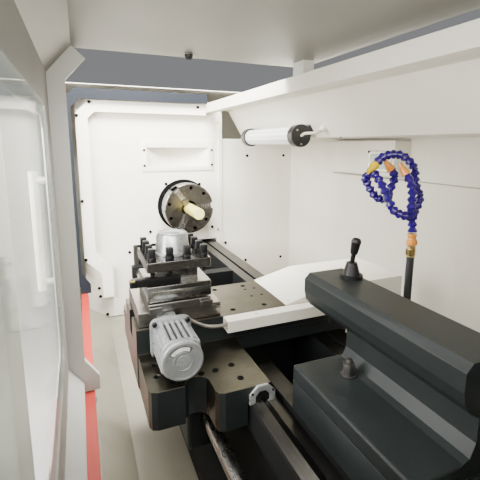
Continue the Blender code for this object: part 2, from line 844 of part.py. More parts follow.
def hood():
    """Roof duct folded from one sheet, with the slanted underside that faces the work."""
    path = [
        (SHEET_INNER_REAR_Y - GAP, HOOD_SOFFIT_Z),
        (HOOD_SOFFIT_Y, HOOD_SOFFIT_Z),
        (HOOD_EDGE_Y, HOOD_EDGE_Z),
        (HOOD_FRONT_Y, HOOD_LIP_Z),
        (HOOD_FRONT_Y, HOOD_TOP_Z),
        (SHEET_INNER_REAR_Y - GAP, HOOD_TOP_Z),
    ]
    return joined(folded(path, -SHEET, "X", TRAY_LEFT_X, RIGHT_INNER_X - GAP), cable_gland())


def rail_beam():
    """Channel that carries the door, open to the rear, with a stop bracket below."""
    rear = BEAM_FRONT_Y + BEAM_DEPTH
    path = [
        (rear, BEAM_LOW_Z),
        (BEAM_FRONT_Y, BEAM_LOW_Z),
        (BEAM_FRONT_Y, BEAM_HIGH_Z),
        (rear, BEAM_HIGH_Z),
    ]
    return folded(path, -BEAM_WALL, "X", TRAY_LEFT_X, RIGHT_INNER_X - GAP)


def door_frame():
    """Folded frame at the headstock end of the opening, with a raised rim towards the door."""
    section = [(BEAM_FRONT_Y - GAP, DOOR_TOP_Z)] + DOOR_SECTION[1:-1] + [(DOOR_FOOT_Y, SILL_TOP_Z + GAP)]
    frame = folded(section, FRAME_RIM, "X", GAP, FRAME_LENGTH)
    rim = folded(section, FRAME_DEPTH, "X", FRAME_LENGTH - FRAME_RIM, FRAME_LENGTH)
    return joined(frame, rim)


def strip_section():
    outer = STRIP_OUTER_Y
    return [
        (BEAM_FRONT_Y - GAP, STRIP_TOP_Z),
        (outer + STRIP_CHAMFER, STRIP_TOP_Z),
        (outer, STRIP_TOP_Z - STRIP_CHAMFER),
        (outer, STRIP_KNEE_Z),
        (outer + STRIP_SLANT, STRIP_KNEE_Z - STRIP_SLANT),
        (outer + STRIP_SLANT, STRIP_BOTTOM_Z),
    ]


def frame_strip():
    """White inner strip that follows the frame from the beam down to the tray."""
    return folded(strip_section(), STRIP_WIDTH, "X", GAP, STRIP_LENGTH)


def door_sill():
    """Channel under the door's foot, folded from one sheet."""
    path = [
        (SILL_BACK_Y, SILL_TOP_Z - SILL_HEIGHT),
        (SILL_BACK_Y, SILL_TOP_Z),
        (DOOR_FOOT_Y, SILL_TOP_Z),
        (DOOR_FOOT_Y, SILL_TOP_Z - SILL_HEIGHT),
    ]
    return folded(path, SHEET, "X", GAP, RIGHT_INNER_X - GAP)


def headstock_panel():
    """Panel with the chuck opening, the bed's window, the scoop pocket and a turned right edge."""
    low_y = DOOR_FRONT_Y + DOOR_CHAMFER_Y
    plate = block((-SHEET, 0), (low_y, PANEL_JOINT_Y - GAP), (PANEL_LOW_Z, PANEL_HIGH_Z))
    edge = block(
        (-SHEET, PANEL_FLANGE_RISE),
        (PANEL_JOINT_Y - GAP - PANEL_FLANGE_WIDTH, PANEL_JOINT_Y - GAP),
        (PANEL_LOW_Z, BEAM_LOW_Z - GAP),
    )
    pocket_y = (POCKET_LEFT_Y - POCKET_RIM, POCKET_RIGHT_Y + POCKET_RIM)
    pocket_z = (POCKET_LOW_Z - POCKET_RIM, POCKET_HIGH_Z + POCKET_RIM)
    rim = block((-POCKET_DEPTH - SHEET, POCKET_RIM_RISE), pocket_y, pocket_z)
    plate = joined(plate, edge, rim)
    return cut(plate, pocket_scoop(), chuck_opening(), bed_window())


def pocket_scoop():
    """Cutter with an upright axis, so the pocket's back is hollow like a scoop."""
    half = (POCKET_RIGHT_Y - POCKET_LEFT_Y) / 2
    middle = (POCKET_RIGHT_Y + POCKET_LEFT_Y) / 2
    radius = (half**2 + POCKET_DEPTH**2) / (2 * POCKET_DEPTH)
    spread = math.asin(half / radius)
    arc = []
    for i in range(SMALL_ROUND + 1):
        angle = spread * (2 * i / SMALL_ROUND - 1)
        depth = radius * math.cos(angle) - (radius - POCKET_DEPTH)
        arc.append((-depth, middle + radius * math.sin(angle)))
    front = POCKET_RIM_RISE + OVERRUN
    outline = [(front, POCKET_LEFT_Y)] + arc + [(front, POCKET_RIGHT_Y)]
    return prism(outline, "Z", POCKET_LOW_Z, POCKET_HIGH_Z)


def chuck_opening():
    return rod("X", (0, 0), -SHEET - OVERRUN, PANEL_FLANGE_RISE, PANEL_OPENING_RADIUS)


def bed_window():
    clear = BED_WINDOW_CLEARANCE
    return block(
        (-SHEET - OVERRUN, PANEL_FLANGE_RISE + OVERRUN),
        (BED_OUTER_FRONT_Y - FOOT_FLANGE - clear, BED_OUTER_REAR_Y + clear),
        (PANEL_LOW_Z - OVERRUN, BED_TOP_Z + clear),
    )


def rear_bulkhead():
    """Panel behind the headstock panel, turned forward along its joint."""
    return block(
        (-SHEET, 0), (PANEL_JOINT_Y, SHEET_INNER_REAR_Y - GAP), (PANEL_LOW_Z, HOOD_SOFFIT_Z + SHEET)
    )


# Sliding door


def window_outline(grow):
    """Rounded window in (x, z), grown all round."""
    left = DOOR_LEAD_X + WINDOW_START - grow
    right = DOOR_LEAD_X + WINDOW_START + WINDOW_LENGTH + grow
    radius = WINDOW_CORNER + grow
    return rounded_outline((left, right), (WINDOW_LOW_Z - grow, WINDOW_HIGH_Z + grow), radius)


def rounded_outline(a_span, b_span, radius, steps=4):
    corners = ((1, 1, 0), (0, 1, 1), (0, 0, 2), (1, 0, 3))
    outline = []
    for i, j, quarter in corners:
        a = a_span[i] + (radius if i == 0 else -radius)
        b = b_span[j] + (radius if j == 0 else -radius)
        for k in range(steps + 1):
            angle = (quarter + k / steps) * math.pi / 2
            outline.append((a + radius * math.cos(angle), b + radius * math.sin(angle)))
    return outline


def sliding_door():
    """Folded door with hollow-section ribs at both ends and hangers that ride on the beam."""
    end = DOOR_LEAD_X + DOOR_LENGTH
    sheet = folded(DOOR_SECTION, SHEET, "X", DOOR_LEAD_X, end)
    ribs = [
        folded(DOOR_SECTION[1:], DOOR_RIB_DEPTH, "X", start, start + DOOR_RIB_WIDTH)
        for start in (DOOR_LEAD_X, end - DOOR_RIB_WIDTH)
    ]
    hangers = [
        block(
            (start, start + HANGER_LENGTH),
            (BEAM_FRONT_Y + BEAM_WALL, BEAM_FRONT_Y + BEAM_DEPTH - BEAM_WALL),
            (BEAM_HIGH_Z + GAP, DOOR_TOP_Z - SHEET / 2),
        )
        for start in (DOOR_LEAD_X + HANGER_INSET, end - HANGER_INSET - HANGER_LENGTH)
    ]
    door = joined(sheet, *ribs, *hangers, door_bumper(), door_handle())
    return cut(door, prism(window_outline(0), "Y", DOOR_FRONT_Y - OVERRUN, DOOR_FRONT_Y + DOOR_RIB_DEPTH))


def door_window():
    inner = DOOR_FRONT_Y + SHEET + GAP
    return prism(window_outline(WINDOW_LAP), "Y", inner, inner + GLASS)


def door_handle():
    """Bow handle: a bar on two posts."""
    x = DOOR_LEAD_X + HANDLE_START + DOOR_RIB_WIDTH
    y = DOOR_FRONT_Y - HANDLE_REACH
    low = HANDLE_MIDDLE_Z - HANDLE_LENGTH / 2
    high = HANDLE_MIDDLE_Z + HANDLE_LENGTH / 2
    bar = rod("Z", (x, y), low, high, HANDLE_RADIUS, SMALL_ROUND)
    posts = [
        rod("Y", (x, z), y, DOOR_FRONT_Y + SHEET / 2, HANDLE_RADIUS * 0.8, SMALL_ROUND)
        for z in (low + 2 * HANDLE_RADIUS, high - 2 * HANDLE_RADIUS)
    ]
    return joined(bar, *posts)


def door_bumper():
    """Rubber stop under the door's roof, behind its leading rib."""
    x = DOOR_LEAD_X + DOOR_RIB_WIDTH + 2 * BUMPER_RADIUS
    top = DOOR_TOP_Z - SHEET / 2
    profile = [
        (top, BUMPER_RADIUS),
        (top - BUMPER_DEPTH * 0.6, BUMPER_RADIUS * 0.9),
        (top - BUMPER_DEPTH, BUMPER_RADIUS * 0.5),
    ]
    return turned(profile, "Z", (x, BUMPER_Y), SMALL_ROUND)


# Lamp and the box's cable gland


def lamp_middle():
    """The lamp's centre, clear of the hood's slanted face."""
    slope = Vector((HOOD_SOFFIT_Y - HOOD_EDGE_Y, HOOD_SOFFIT_Z - HOOD_EDGE_Z))
    out = Vector((slope.y, -slope.x)).normalized()
    foot = Vector((HOOD_EDGE_Y, HOOD_EDGE_Z)) + slope * LAMP_SLOPE_SHARE
    return foot + out * (LAMP_CAP_RADIUS + LAMP_CLEARANCE), out


def work_lamp():
    """Sealed tube lamp with a cap at each end."""
    middle, _ = lamp_middle()
    inset = LAMP_CAP_LENGTH / 2
    lens = rod(
        "X", middle, LAMP_LEFT_X + inset, LAMP_LEFT_X + LAMP_LENGTH - inset, LAMP_RADIUS, 2 * SMALL_ROUND
    )
    return joined(lens, lamp_cap(LAMP_LEFT_X), lamp_cap(LAMP_LEFT_X + LAMP_LENGTH - LAMP_CAP_LENGTH))


def lamp_cap(start):
    """End cap with the ear that is screwed to the hood."""
    middle, out = lamp_middle()
    end = start + LAMP_CAP_LENGTH
    cap = rod("X", middle, start, end, LAMP_CAP_RADIUS, 2 * SMALL_ROUND)
    seat = middle - out * (LAMP_CAP_RADIUS + LAMP_CLEARANCE - GAP)
    side = Vector((out.y, -out.x)) * (LAMP_EAR_WIDTH / 2)
    near = middle - out * (LAMP_CAP_RADIUS * 0.5)
    ear = prism([near - side, near + side, seat + side, seat - side], "X", start, end)
    return joined(cap, ear)


def lamp_cable():
    """Short cable from the lamp's right cap to the gland on the hood's slope."""
    (y, z), out = lamp_middle()
    start_x = LAMP_LEFT_X + LAMP_LENGTH + 4 * GAP
    gland = gland_seat() + Vector((0, *out)) * (GLAND_LENGTH + 2 * GAP)
    bow = LAMP_CAP_RADIUS * 0.5
    route = [
        Vector((start_x, y, z)),
        Vector((start_x + bow * 0.3, y, z)),
        Vector((start_x + bow * 1.2, y - bow * 0.2, z + bow * 0.3)),
        Vector((gland.x - bow, gland.y - bow, gland.z - bow * 0.4)),
        gland + Vector((0, *out)) * bow * 0.8,
        gland + Vector((0, *out)) * bow * 0.3,
        gland,
    ]
    points = smooth_route(route, 2 * LAMP_CABLE_RADIUS)
    return cord(points, LAMP_CABLE_RADIUS)


def gland_seat():
    """Where the gland stands on the slope."""
    middle, out = lamp_middle()
    seat = middle - out * (LAMP_CAP_RADIUS + LAMP_CLEARANCE - GAP)
    return Vector((GLAND_X, *seat))


def cable_gland():
    seat = gland_seat()
    _, out = lamp_middle()
    made = turned(
        [(-SHEET / 2, GLAND_RADIUS), (GLAND_LENGTH * 0.6, GLAND_RADIUS), (GLAND_LENGTH, GLAND_RADIUS * 0.6)],
        "Z",
        (0, 0),
        SMALL_ROUND,
    )
    turn = Vector((0, 0, 1)).rotation_difference(Vector((0, *out))).to_matrix().to_4x4()
    made.data.transform(Matrix.Translation(seat) @ turn)
    return made


def cord(points, radius):
    """A plain round cord: a poly curve with a bevel and filled ends."""
    curve = bpy.data.curves.new("cord", "CURVE")
    curve.dimensions = "3D"
    curve.bevel_depth = radius
    curve.bevel_resolution = 2
    curve.use_fill_caps = True
    spline = curve.splines.new("POLY")
    spline.points.add(len(points) - 1)
    for target, point in zip(spline.points, points):
        target.co = (*point, 1.0)
    made = bpy.data.objects.new("cord", curve)
    bpy.context.scene.collection.objects.link(made)
    return made


# Bed and supports


def bed_section():
    """Outline of the bed in (y, z), from the front foot up over the ways."""
    top = BED_TOP_Z
    rail = top - WAY_DEPTH
    return [
        (BED_OUTER_FRONT_Y - FOOT_FLANGE, BED_BOTTOM_Z),
        (BED_OUTER_FRONT_Y - FOOT_FLANGE, BED_BOTTOM_Z + FOOT_RISE),
        (BED_OUTER_FRONT_Y + WEB_STEP, BED_BOTTOM_Z + FOOT_RISE + FOOT_FLANGE),
        (BED_OUTER_FRONT_Y + WEB_STEP, rail - WEB_STEP),
        (BED_OUTER_FRONT_Y, rail),
        (BED_OUTER_FRONT_Y, top - WAY_GROOVE / 2),
        (VEE_OUTER_Y, top),
        (VEE_APEX_Y, top + VEE_RISE),
        (VEE_INNER_Y, top),
        (VEE_INNER_Y, top - WAY_GROOVE),
        (FRONT_FLAT_Y, top - WAY_GROOVE),
        (FRONT_FLAT_Y, top),
        (REAR_GROOVE_Y, top),
        (REAR_GROOVE_Y, top - WAY_GROOVE),
        (REAR_FLAT_Y, top - WAY_GROOVE),
        (REAR_FLAT_Y, top),
        (BED_OUTER_REAR_Y, top),
        (BED_OUTER_REAR_Y, rail),
        (BED_OUTER_REAR_Y - WEB_STEP, rail - WEB_STEP),
        (BED_OUTER_REAR_Y - WEB_STEP, BED_BOTTOM_Z + FOOT_RISE),
        (BED_OUTER_REAR_Y, BED_BOTTOM_Z + FOOT_RISE / 2),
        (BED_OUTER_REAR_Y, BED_BOTTOM_Z),
    ]


def rib_places():
    """Left faces of the bed's cross ribs; the first and last close its ends."""
    step = (BED_RIGHT_X - BED_LEFT_X - RIB_THICKNESS) / RIB_COUNT
    return [BED_LEFT_X + i * step for i in range(RIB_COUNT + 1)]


def bed():
    """Cast bed with two rails, cross ribs between open wells and chip windows at the rear."""
    casting = prism(bed_section(), "X", BED_LEFT_X, BED_RIGHT_X)
    ribs = rib_places()
    cutters = []
    for left, right in zip(ribs, ribs[1:]):
        span = (left + RIB_THICKNESS, right)
        cutters.append(
            block(span, (BED_HOLLOW_FRONT_Y, BED_HOLLOW_REAR_Y), (BED_BOTTOM_Z - OVERRUN, BED_TOP_Z + OVERRUN))
        )
        low = BED_BOTTOM_Z + FOOT_RISE + FOOT_FLANGE
        cutters.append(
            block(
                (span[0] + RIB_THICKNESS, span[1] - RIB_THICKNESS),
                (BED_HOLLOW_REAR_Y - OVERRUN, BED_OUTER_REAR_Y + OVERRUN),
                (low, low + CHIP_WINDOW_HEIGHT),
            )
        )
    return joined(cut(casting, *cutters), screw_block(FEED_SCREW_LEFT_X))


def chip_tray():
    """Folded tray between the bed and the right pedestal, cut away over the pedestal's top."""
    path = [
        (TRAY_REAR_Y + SHEET, TRAY_RIM_Z),
        (TRAY_REAR_Y, TRAY_FLOOR_Z),
        (TRAY_BEND_Y, TRAY_FLOOR_Z),
        (TRAY_FRONT_Y, TRAY_SLOPE_Z),
        (TRAY_FRONT_Y, TRAY_RIM_Z),
    ]
    return folded(path, SHEET, "X", TRAY_LEFT_X, RIGHT_INNER_X - GAP)


def pedestal(start, end, top, open_left):
    """Cast box stand on four levelling pads, with a window in front and open below."""
    low = PEDESTAL_LOW_Z
    wall = PEDESTAL_WALL
    y_span = (PEDESTAL_FRONT_Y, PEDESTAL_REAR_Y)
    box = block((start, end), y_span, (low, top), wall / 2)
    hollow = block(
        (start + wall, end - wall), (y_span[0] + wall, y_span[1] - wall), (low - OVERRUN, top - 2 * wall)
    )
    inset = PEDESTAL_WINDOW_INSET
    left = start - OVERRUN if open_left else start + inset
    windows = [
        block(
            (start + inset, end - inset), (y_span[1] - wall - OVERRUN, y_span[1] + OVERRUN), (low + inset, top - inset)
        )
    ]
    if open_left:
        windows.append(
            block((left, start + wall + OVERRUN), (y_span[0] + inset, y_span[1] - inset), (low + inset, top - inset))
        )
    stand = cut(box, hollow, *windows)
    pads = []
    for x in (start + FOOT_INSET, end - FOOT_INSET):
        for y in (y_span[0] + FOOT_INSET, y_span[1] - FOOT_INSET):
            pads.append(levelling_pad(x, y))
            pads.append(corner_boss(x, y, start, end))
    return joined(stand, *pads)


def levelling_pad(x, y):
    """Turned pad and stem that screws up into the stand's corner boss."""
    low = -AXIS_HEIGHT
    profile = [
        (low, FOOT_PAD_RADIUS),
        (low + FOOT_PAD_HEIGHT * 0.6, FOOT_PAD_RADIUS),
        (low + FOOT_PAD_HEIGHT, FOOT_STEM_RADIUS),
        (PEDESTAL_LOW_Z + PEDESTAL_WALL / 2, FOOT_STEM_RADIUS),
    ]
    return turned(profile, "Z", (x, y), SMALL_ROUND)


def corner_boss(x, y, start, end):
    """Block in the stand's corner that takes the pad's stem."""
    out_x = start + PEDESTAL_WALL / 2 if x < (start + end) / 2 else end - PEDESTAL_WALL / 2
    middle = (PEDESTAL_FRONT_Y + PEDESTAL_REAR_Y) / 2
    out_y = PEDESTAL_FRONT_Y + PEDESTAL_WALL / 2 if y < middle else PEDESTAL_REAR_Y - PEDESTAL_WALL / 2
    reach = FOOT_STEM_RADIUS * 1.6
    x_span = sorted((out_x, x + (reach if x > out_x else -reach)))
    y_span = sorted((out_y, y + (reach if y > out_y else -reach)))
    low = PEDESTAL_LOW_Z + GAP
    return block(x_span, y_span, (low, low + PEDESTAL_WALL))


# Headstock and drive


def headstock_housing():
    """Cast housing on the bed, bored through, with a counterbore for each bearing."""
    low = BED_TOP_Z + VEE_RISE + GAP
    half = HEADSTOCK_HALF_WIDTH
    chamfer = HEADSTOCK_CHAMFER
    outline = [
        (BED_OUTER_FRONT_Y, low),
        (BED_OUTER_REAR_Y, low),
        (BED_OUTER_REAR_Y, low + chamfer),
        (half, low + 2 * chamfer),
        (half, HEADSTOCK_TOP_Z - chamfer),
        (half - chamfer, HEADSTOCK_TOP_Z),
        (chamfer - half, HEADSTOCK_TOP_Z),
        (-half, HEADSTOCK_TOP_Z - chamfer),
        (-half, low + 2 * chamfer),
        (BED_OUTER_FRONT_Y, low + chamfer),
    ]
    casting = prism(outline, "X", HEADSTOCK_LEFT_X, HEADSTOCK_RIGHT_X)
    seat = BEARING_RADIUS + GAP
    bore = turned(
        [
            (HEADSTOCK_LEFT_X - OVERRUN, seat),
            (HEADSTOCK_LEFT_X + BEARING_WIDTH, seat),
            (HEADSTOCK_LEFT_X + BEARING_WIDTH, BEARING_RADIUS - BEARING_LIP),
            (HEADSTOCK_RIGHT_X - BEARING_WIDTH, BEARING_RADIUS - BEARING_LIP),
            (HEADSTOCK_RIGHT_X - BEARING_WIDTH, seat),
            (HEADSTOCK_RIGHT_X + OVERRUN, seat),
        ],
        "X",
        (0, 0),
    )
    return cut(casting, bore)


def bearing(start):
    return tube("X", (0, 0), start + GAP, start + BEARING_WIDTH - GAP, BEARING_RADIUS, SPINDLE_RADIUS + 2 * GAP)


def spindle():
    """Hollow spindle with the flange that the chuck is bolted to."""
    nose = SPINDLE_NOSE_X
    profile = [
        (SPINDLE_LEFT_X, SPINDLE_RADIUS * 0.9),
        (PULLEY_LEFT_X - GAP, SPINDLE_RADIUS * 0.9),
        (PULLEY_LEFT_X - GAP, SPINDLE_RADIUS),
        (nose - SPINDLE_FLANGE, SPINDLE_RADIUS),
        (nose - SPINDLE_FLANGE, SPINDLE_FLANGE_RADIUS),
        (nose, SPINDLE_FLANGE_RADIUS),
        (nose, SPINDLE_BORE_RADIUS),
        (SPINDLE_LEFT_X, SPINDLE_BORE_RADIUS),
    ]
    return turned(profile, "X", (0, 0), closed=True)


def pulley(centre, radius, bore):
    """Flat pulley with a rim at each side."""
    start, end = PULLEY_LEFT_X, PULLEY_LEFT_X + PULLEY_WIDTH
    rim, lip = radius + PULLEY_FLANGE, PULLEY_FLANGE_WIDTH
    profile = [
        (start, rim),
        (start + lip, rim),
        (start + lip, radius),
        (end - lip, radius),
        (end - lip, rim),
        (end, rim),
        (end, bore),
        (start, bore),
    ]
    return turned(profile, "X", centre, closed=True)


def belt_loop(grow):
    """Outline in (y, z) of a belt round both pulleys, grown from their surfaces."""
    top, low = Vector((0, 0)), Vector((MOTOR_Y, MOTOR_Z))
    span = (low - top).length
    lean = math.atan2((low - top).y, (low - top).x)
    open_by = math.acos((PULLEY_RADIUS - MOTOR_PULLEY_RADIUS) / span)
    outline = []
    for centre, radius, first, last in (
        (top, PULLEY_RADIUS + grow, lean + open_by, lean + math.tau - open_by),
        (low, MOTOR_PULLEY_RADIUS + grow, lean - open_by, lean + open_by),
    ):
        for i in range(ROUND // 2 + 1):
            angle = first + (last - first) * i / (ROUND // 2)
            outline.append((centre.x + radius * math.cos(angle), centre.y + radius * math.sin(angle)))
    return outline


def drive_belt():
    start = PULLEY_LEFT_X + PULLEY_FLANGE_WIDTH + 2 * GAP
    end = PULLEY_LEFT_X + PULLEY_WIDTH - PULLEY_FLANGE_WIDTH - 2 * GAP
    loop = prism(belt_loop(2 * GAP + BELT), "X", start, end)
    return cut(loop, prism(belt_loop(2 * GAP), "X", start - OVERRUN, end + OVERRUN))


def main_motor():
    """Ribbed motor on a foot plate that stands across the pedestal."""
    start, end = MOTOR_LEFT_X, MOTOR_LEFT_X + MOTOR_LENGTH
    centre = (MOTOR_Y, MOTOR_Z)
    cap = MOTOR_LENGTH * 0.14
    barrel = turned(
        [
            (start, MOTOR_RADIUS * 0.72),
            (start + cap * 0.4, MOTOR_RADIUS),
            (start + cap, MOTOR_RADIUS),
            (start + cap, MOTOR_RADIUS - MOTOR_RIB_DEPTH),
            (end - cap, MOTOR_RADIUS - MOTOR_RIB_DEPTH),
            (end - cap, MOTOR_RADIUS),
            (end, MOTOR_RADIUS * 0.92),
        ],
        "X",
        centre,
    )
    ribs = fins(
        start + cap - OVERRUN, end - cap + OVERRUN, centre, MOTOR_RADIUS - SHEET, MOTOR_RIB_DEPTH, MOTOR_RIBS
    )
    shaft = rod("X", centre, PULLEY_LEFT_X + PULLEY_WIDTH + GAP, start + cap, MOTOR_SHAFT_RADIUS, SMALL_ROUND)
    foot = block(
        (start + 1.5 * cap, end - 1.5 * cap),
        (MOTOR_Y - MOTOR_RADIUS, MOTOR_Y + MOTOR_RADIUS),
        (MOTOR_Z - MOTOR_RADIUS - MOTOR_FOOT, MOTOR_Z - MOTOR_RADIUS + MOTOR_RIB_DEPTH),
    )
    return joined(barrel, ribs, shaft, foot)


def fins(start, end, centre, radius, depth, count):
    """Star-shaped prism whose teeth are the cooling fins."""
    outline = []
    for i in range(2 * count):
        reach = radius if i % 2 else radius - depth * 1.2
        for side in (-0.25, 0.25):
            angle = math.tau * (i + side) / (2 * count)
            outline.append((centre[0] + reach * math.cos(angle), centre[1] + reach * math.sin(angle)))
    return prism(outline, "X", start, end)


# Chuck


def chuck_body():
    """Turned body with a bore, three radial jaw slots and sunk screw heads."""
    back = CHUCK_BACK_X
    profile = [
        (back, CHUCK_RADIUS - CHUCK_STEP),
        (back + CHUCK_STEP_DEPTH, CHUCK_RADIUS - CHUCK_STEP),
        (back + CHUCK_STEP_DEPTH, CHUCK_RADIUS),
        (CHUCK_FACE_X - CHUCK_FACE_CHAMFER, CHUCK_RADIUS),
        (CHUCK_FACE_X, CHUCK_RADIUS - CHUCK_FACE_CHAMFER),
        (CHUCK_FACE_X, CHUCK_BORE_RADIUS),
        (back, CHUCK_BORE_RADIUS),
    ]
    made = turned(profile, "X", (0, 0), closed=True)
    cutters = []
    for angle in ring_of(JAW_COUNT, JAW_FIRST_ANGLE):
        half = JAW_WIDTH / 2 + GAP
        slot = block(
            (CHUCK_FACE_X - JAW_SLOT_DEPTH, CHUCK_FACE_X + OVERRUN),
            (0, CHUCK_RADIUS + OVERRUN),
            (-half, half),
        )
        cutters.append(turn_about(slot, math.degrees(angle), "X", (0, 0, 0)))
        for side in (-1, 1):
            at = angle + math.pi / JAW_COUNT + side * math.radians(20)
            centre = (CHUCK_BOLT_CIRCLE * math.cos(at), CHUCK_BOLT_CIRCLE * math.sin(at))
            cutters.append(
                rod(
                    "X",
                    centre,
                    CHUCK_FACE_X - CHUCK_BOLT_DEPTH,
                    CHUCK_FACE_X + OVERRUN,
                    CHUCK_BOLT_RADIUS,
                    SMALL_ROUND,
                )
            )
    return cut(made, *cutters)


def chuck_jaw(angle):
    """Stepped jaw with a pointed gripping end, in its slot at the angle."""
    half = JAW_WIDTH / 2
    low = CHUCK_FACE_X - JAW_SLOT_DEPTH + GAP
    inner, outer = JAW_INNER, JAW_INNER + JAW_LENGTH
    tip = half * 0.5
    base = prism(
        [(inner, -tip), (inner + tip, -half), (outer, -half), (outer, half), (inner + tip, half), (inner, tip)],
        "X",
        low,
        CHUCK_FACE_X + JAW_PROUD,
    )
    step_face = CHUCK_FACE_X + JAW_STEP_PROUD
    step = prism(
        [
            (inner, -tip),
            (inner + tip, -half * 0.8),
            (inner + JAW_STEP_LENGTH, -half * 0.8),
            (inner + JAW_STEP_LENGTH, half * 0.8),
            (inner + tip, half * 0.8),
            (inner, tip),
        ],
        "X",
        CHUCK_FACE_X - JAW_PROUD,
        step_face,
    )
    return turn_about(joined(base, step), math.degrees(angle), "X", (0, 0, 0))


def bar_stock():
    """Round bar gripped by the jaws, its edge chamfered."""
    chamfer = BAR_RADIUS * 0.06
    profile = [
        (BAR_LEFT_X, BAR_RADIUS),
        (BAR_END_X - chamfer, BAR_RADIUS),
        (BAR_END_X, BAR_RADIUS - chamfer),
    ]
    return turned(profile, "X", (0, 0), 2 * SMALL_ROUND)


# Carriage


def wing_outline():
    """Top view of the saddle's front wing with the rounded notch between its two lobes."""
    r = WING_CORNER
    corner = math.sqrt(0.5) * r
    outline = [
        (WING_LEFT_X, WING_REAR_Y),
        (WING_LEFT_X, WING_FRONT_Y + r),
        (WING_LEFT_X + r - corner, WING_FRONT_Y + r - corner),
        (WING_LEFT_X + r, WING_FRONT_Y),
        (WING_LOBE_X - r, WING_FRONT_Y),
        (WING_LOBE_X - r + corner, WING_FRONT_Y + r - corner),
        (WING_LOBE_X, WING_FRONT_Y + r),
        (WING_LOBE_X, WING_NOTCH_Y - WING_NOTCH_RADIUS),
    ]
    for i in range(1, 6):
        angle = -math.pi / 2 + math.pi * i / 6
        outline.append(
            (
                WING_LOBE_X - WING_NOTCH_RADIUS * math.cos(angle),
                WING_NOTCH_Y + WING_NOTCH_RADIUS * math.sin(angle),
            )
        )
    outline += [
        (WING_LOBE_X, WING_NOTCH_Y + WING_NOTCH_RADIUS),
        (WING_RIGHT_X - r, WING_NOTCH_Y + WING_NOTCH_RADIUS),
        (WING_RIGHT_X - r + corner, WING_NOTCH_Y + WING_NOTCH_RADIUS + r - corner),
        (WING_RIGHT_X, WING_NOTCH_Y + WING_NOTCH_RADIUS + r),
        (WING_RIGHT_X, WING_REAR_Y),
    ]
    return outline


def way_relief():
    """What the bed's front rail takes out of the saddle and the tailstock, with a gap to the ways."""
    top = BED_TOP_Z + GAP
    return [
        (BED_OUTER_FRONT_Y - OVERRUN, BED_BOTTOM_Z),
        (BED_OUTER_FRONT_Y - OVERRUN, top),
        (VEE_OUTER_Y - GAP, top),
        (VEE_APEX_Y, top + VEE_RISE),
        (VEE_INNER_Y + GAP, top),
        (BED_OUTER_REAR_Y + OVERRUN, top),
        (BED_OUTER_REAR_Y + OVERRUN, BED_BOTTOM_Z),
    ]


def saddle():
    """One casting: the bridge across the ways, the front wing and its skirt."""
    skirt = SADDLE_SKIRT_Z
    bridge = block((SADDLE_LEFT_X, SADDLE_RIGHT_X), (SADDLE_FRONT_Y, SADDLE_REAR_Y), (skirt, SADDLE_TOP_Z))
    wing = prism(wing_outline(), "Z", skirt, WING_TOP_Z)
    made = joined(bridge, wing)
    slot = block(
        (CROSS_SLOT_LEFT_X, CROSS_SLOT_LEFT_X + CROSS_SLOT_WIDTH),
        (SADDLE_FRONT_Y - OVERRUN, CROSS_SLOT_END_Y),
        (CROSS_SLOT_FLOOR_Z, SADDLE_TOP_Z + OVERRUN),
    )
    bore = rod(
        "Y",
        (CROSS_X, CROSS_SCREW_Z),
        CROSS_SLOT_END_Y - OVERRUN,
        SADDLE_REAR_Y + OVERRUN,
        CROSS_SCREW_RADIUS + SCREW_CLEARANCE,
        SMALL_ROUND,
    )
    relief = prism(way_relief(), "X", WING_LEFT_X - OVERRUN, WING_RIGHT_X + OVERRUN)
    return cut(made, relief, slot, bore, *saddle_holes())


def saddle_holes():
    """Sunk screw holes in the bridge's ground top and along the wing's lobes."""
    places = []
    inset = (SADDLE_RIGHT_X - SADDLE_LEFT_X) * 0.14
    for x in (SADDLE_LEFT_X + inset, SADDLE_RIGHT_X - inset):
        for share in (0.22, 0.72):
            y = SLIDE_REAR_Y + (COVER_START_Y - SLIDE_REAR_Y) * share
            places.append((x, y, SADDLE_TOP_Z))
    lobe = WING_LOBE_X - SADDLE_RIGHT_X
    for x_share, y_share in ((0.35, 0.30), (0.65, 0.26), (0.85, 0.55), (0.35, 0.75)):
        x = SADDLE_RIGHT_X + lobe * x_share
        y = WING_FRONT_Y + (WING_NOTCH_Y - WING_FRONT_Y) * y_share
        places.append((x, y, WING_TOP_Z))
    return [
        rod("Z", (x, y), top - SADDLE_HOLE_DEPTH, top + OVERRUN, SADDLE_HOLE_RADIUS, SMALL_ROUND)
        for x, y, top in places
    ]


def apron():
    """Housing of the feed nut under the saddle's front wing, bored for the feed screw."""
    box = block(
        (APRON_LEFT_X, APRON_LEFT_X + APRON_LENGTH),
        (APRON_FRONT_Y, APRON_REAR_Y),
        (APRON_BOTTOM_Z, SADDLE_SKIRT_Z - GAP),
        WING_CORNER / 2,
    )
    bore = rod(
        "X",
        (FEED_SCREW_Y, FEED_SCREW_Z),
        APRON_LEFT_X - OVERRUN,
        APRON_LEFT_X + APRON_LENGTH + OVERRUN,
        FEED_SCREW_RADIUS + SCREW_CLEARANCE,
        2 * SMALL_ROUND,
    )
    return cut(box, bore)


def feed_screw():
    """Ball screw with a turned-down journal at each end."""
    journal = FEED_SCREW_RADIUS * 0.75
    start, end = FEED_SCREW_LEFT_X, FEED_MOTOR_X - GAP
    seat = FEED_BLOCK + 2 * GAP
    profile = [
        (start, journal),
        (start + seat, journal),
        (start + seat, FEED_SCREW_RADIUS),
        (end - seat, FEED_SCREW_RADIUS),
        (end - seat, journal),
        (end, journal),
    ]
    return turned(profile, "X", (FEED_SCREW_Y, FEED_SCREW_Z), 2 * SMALL_ROUND)


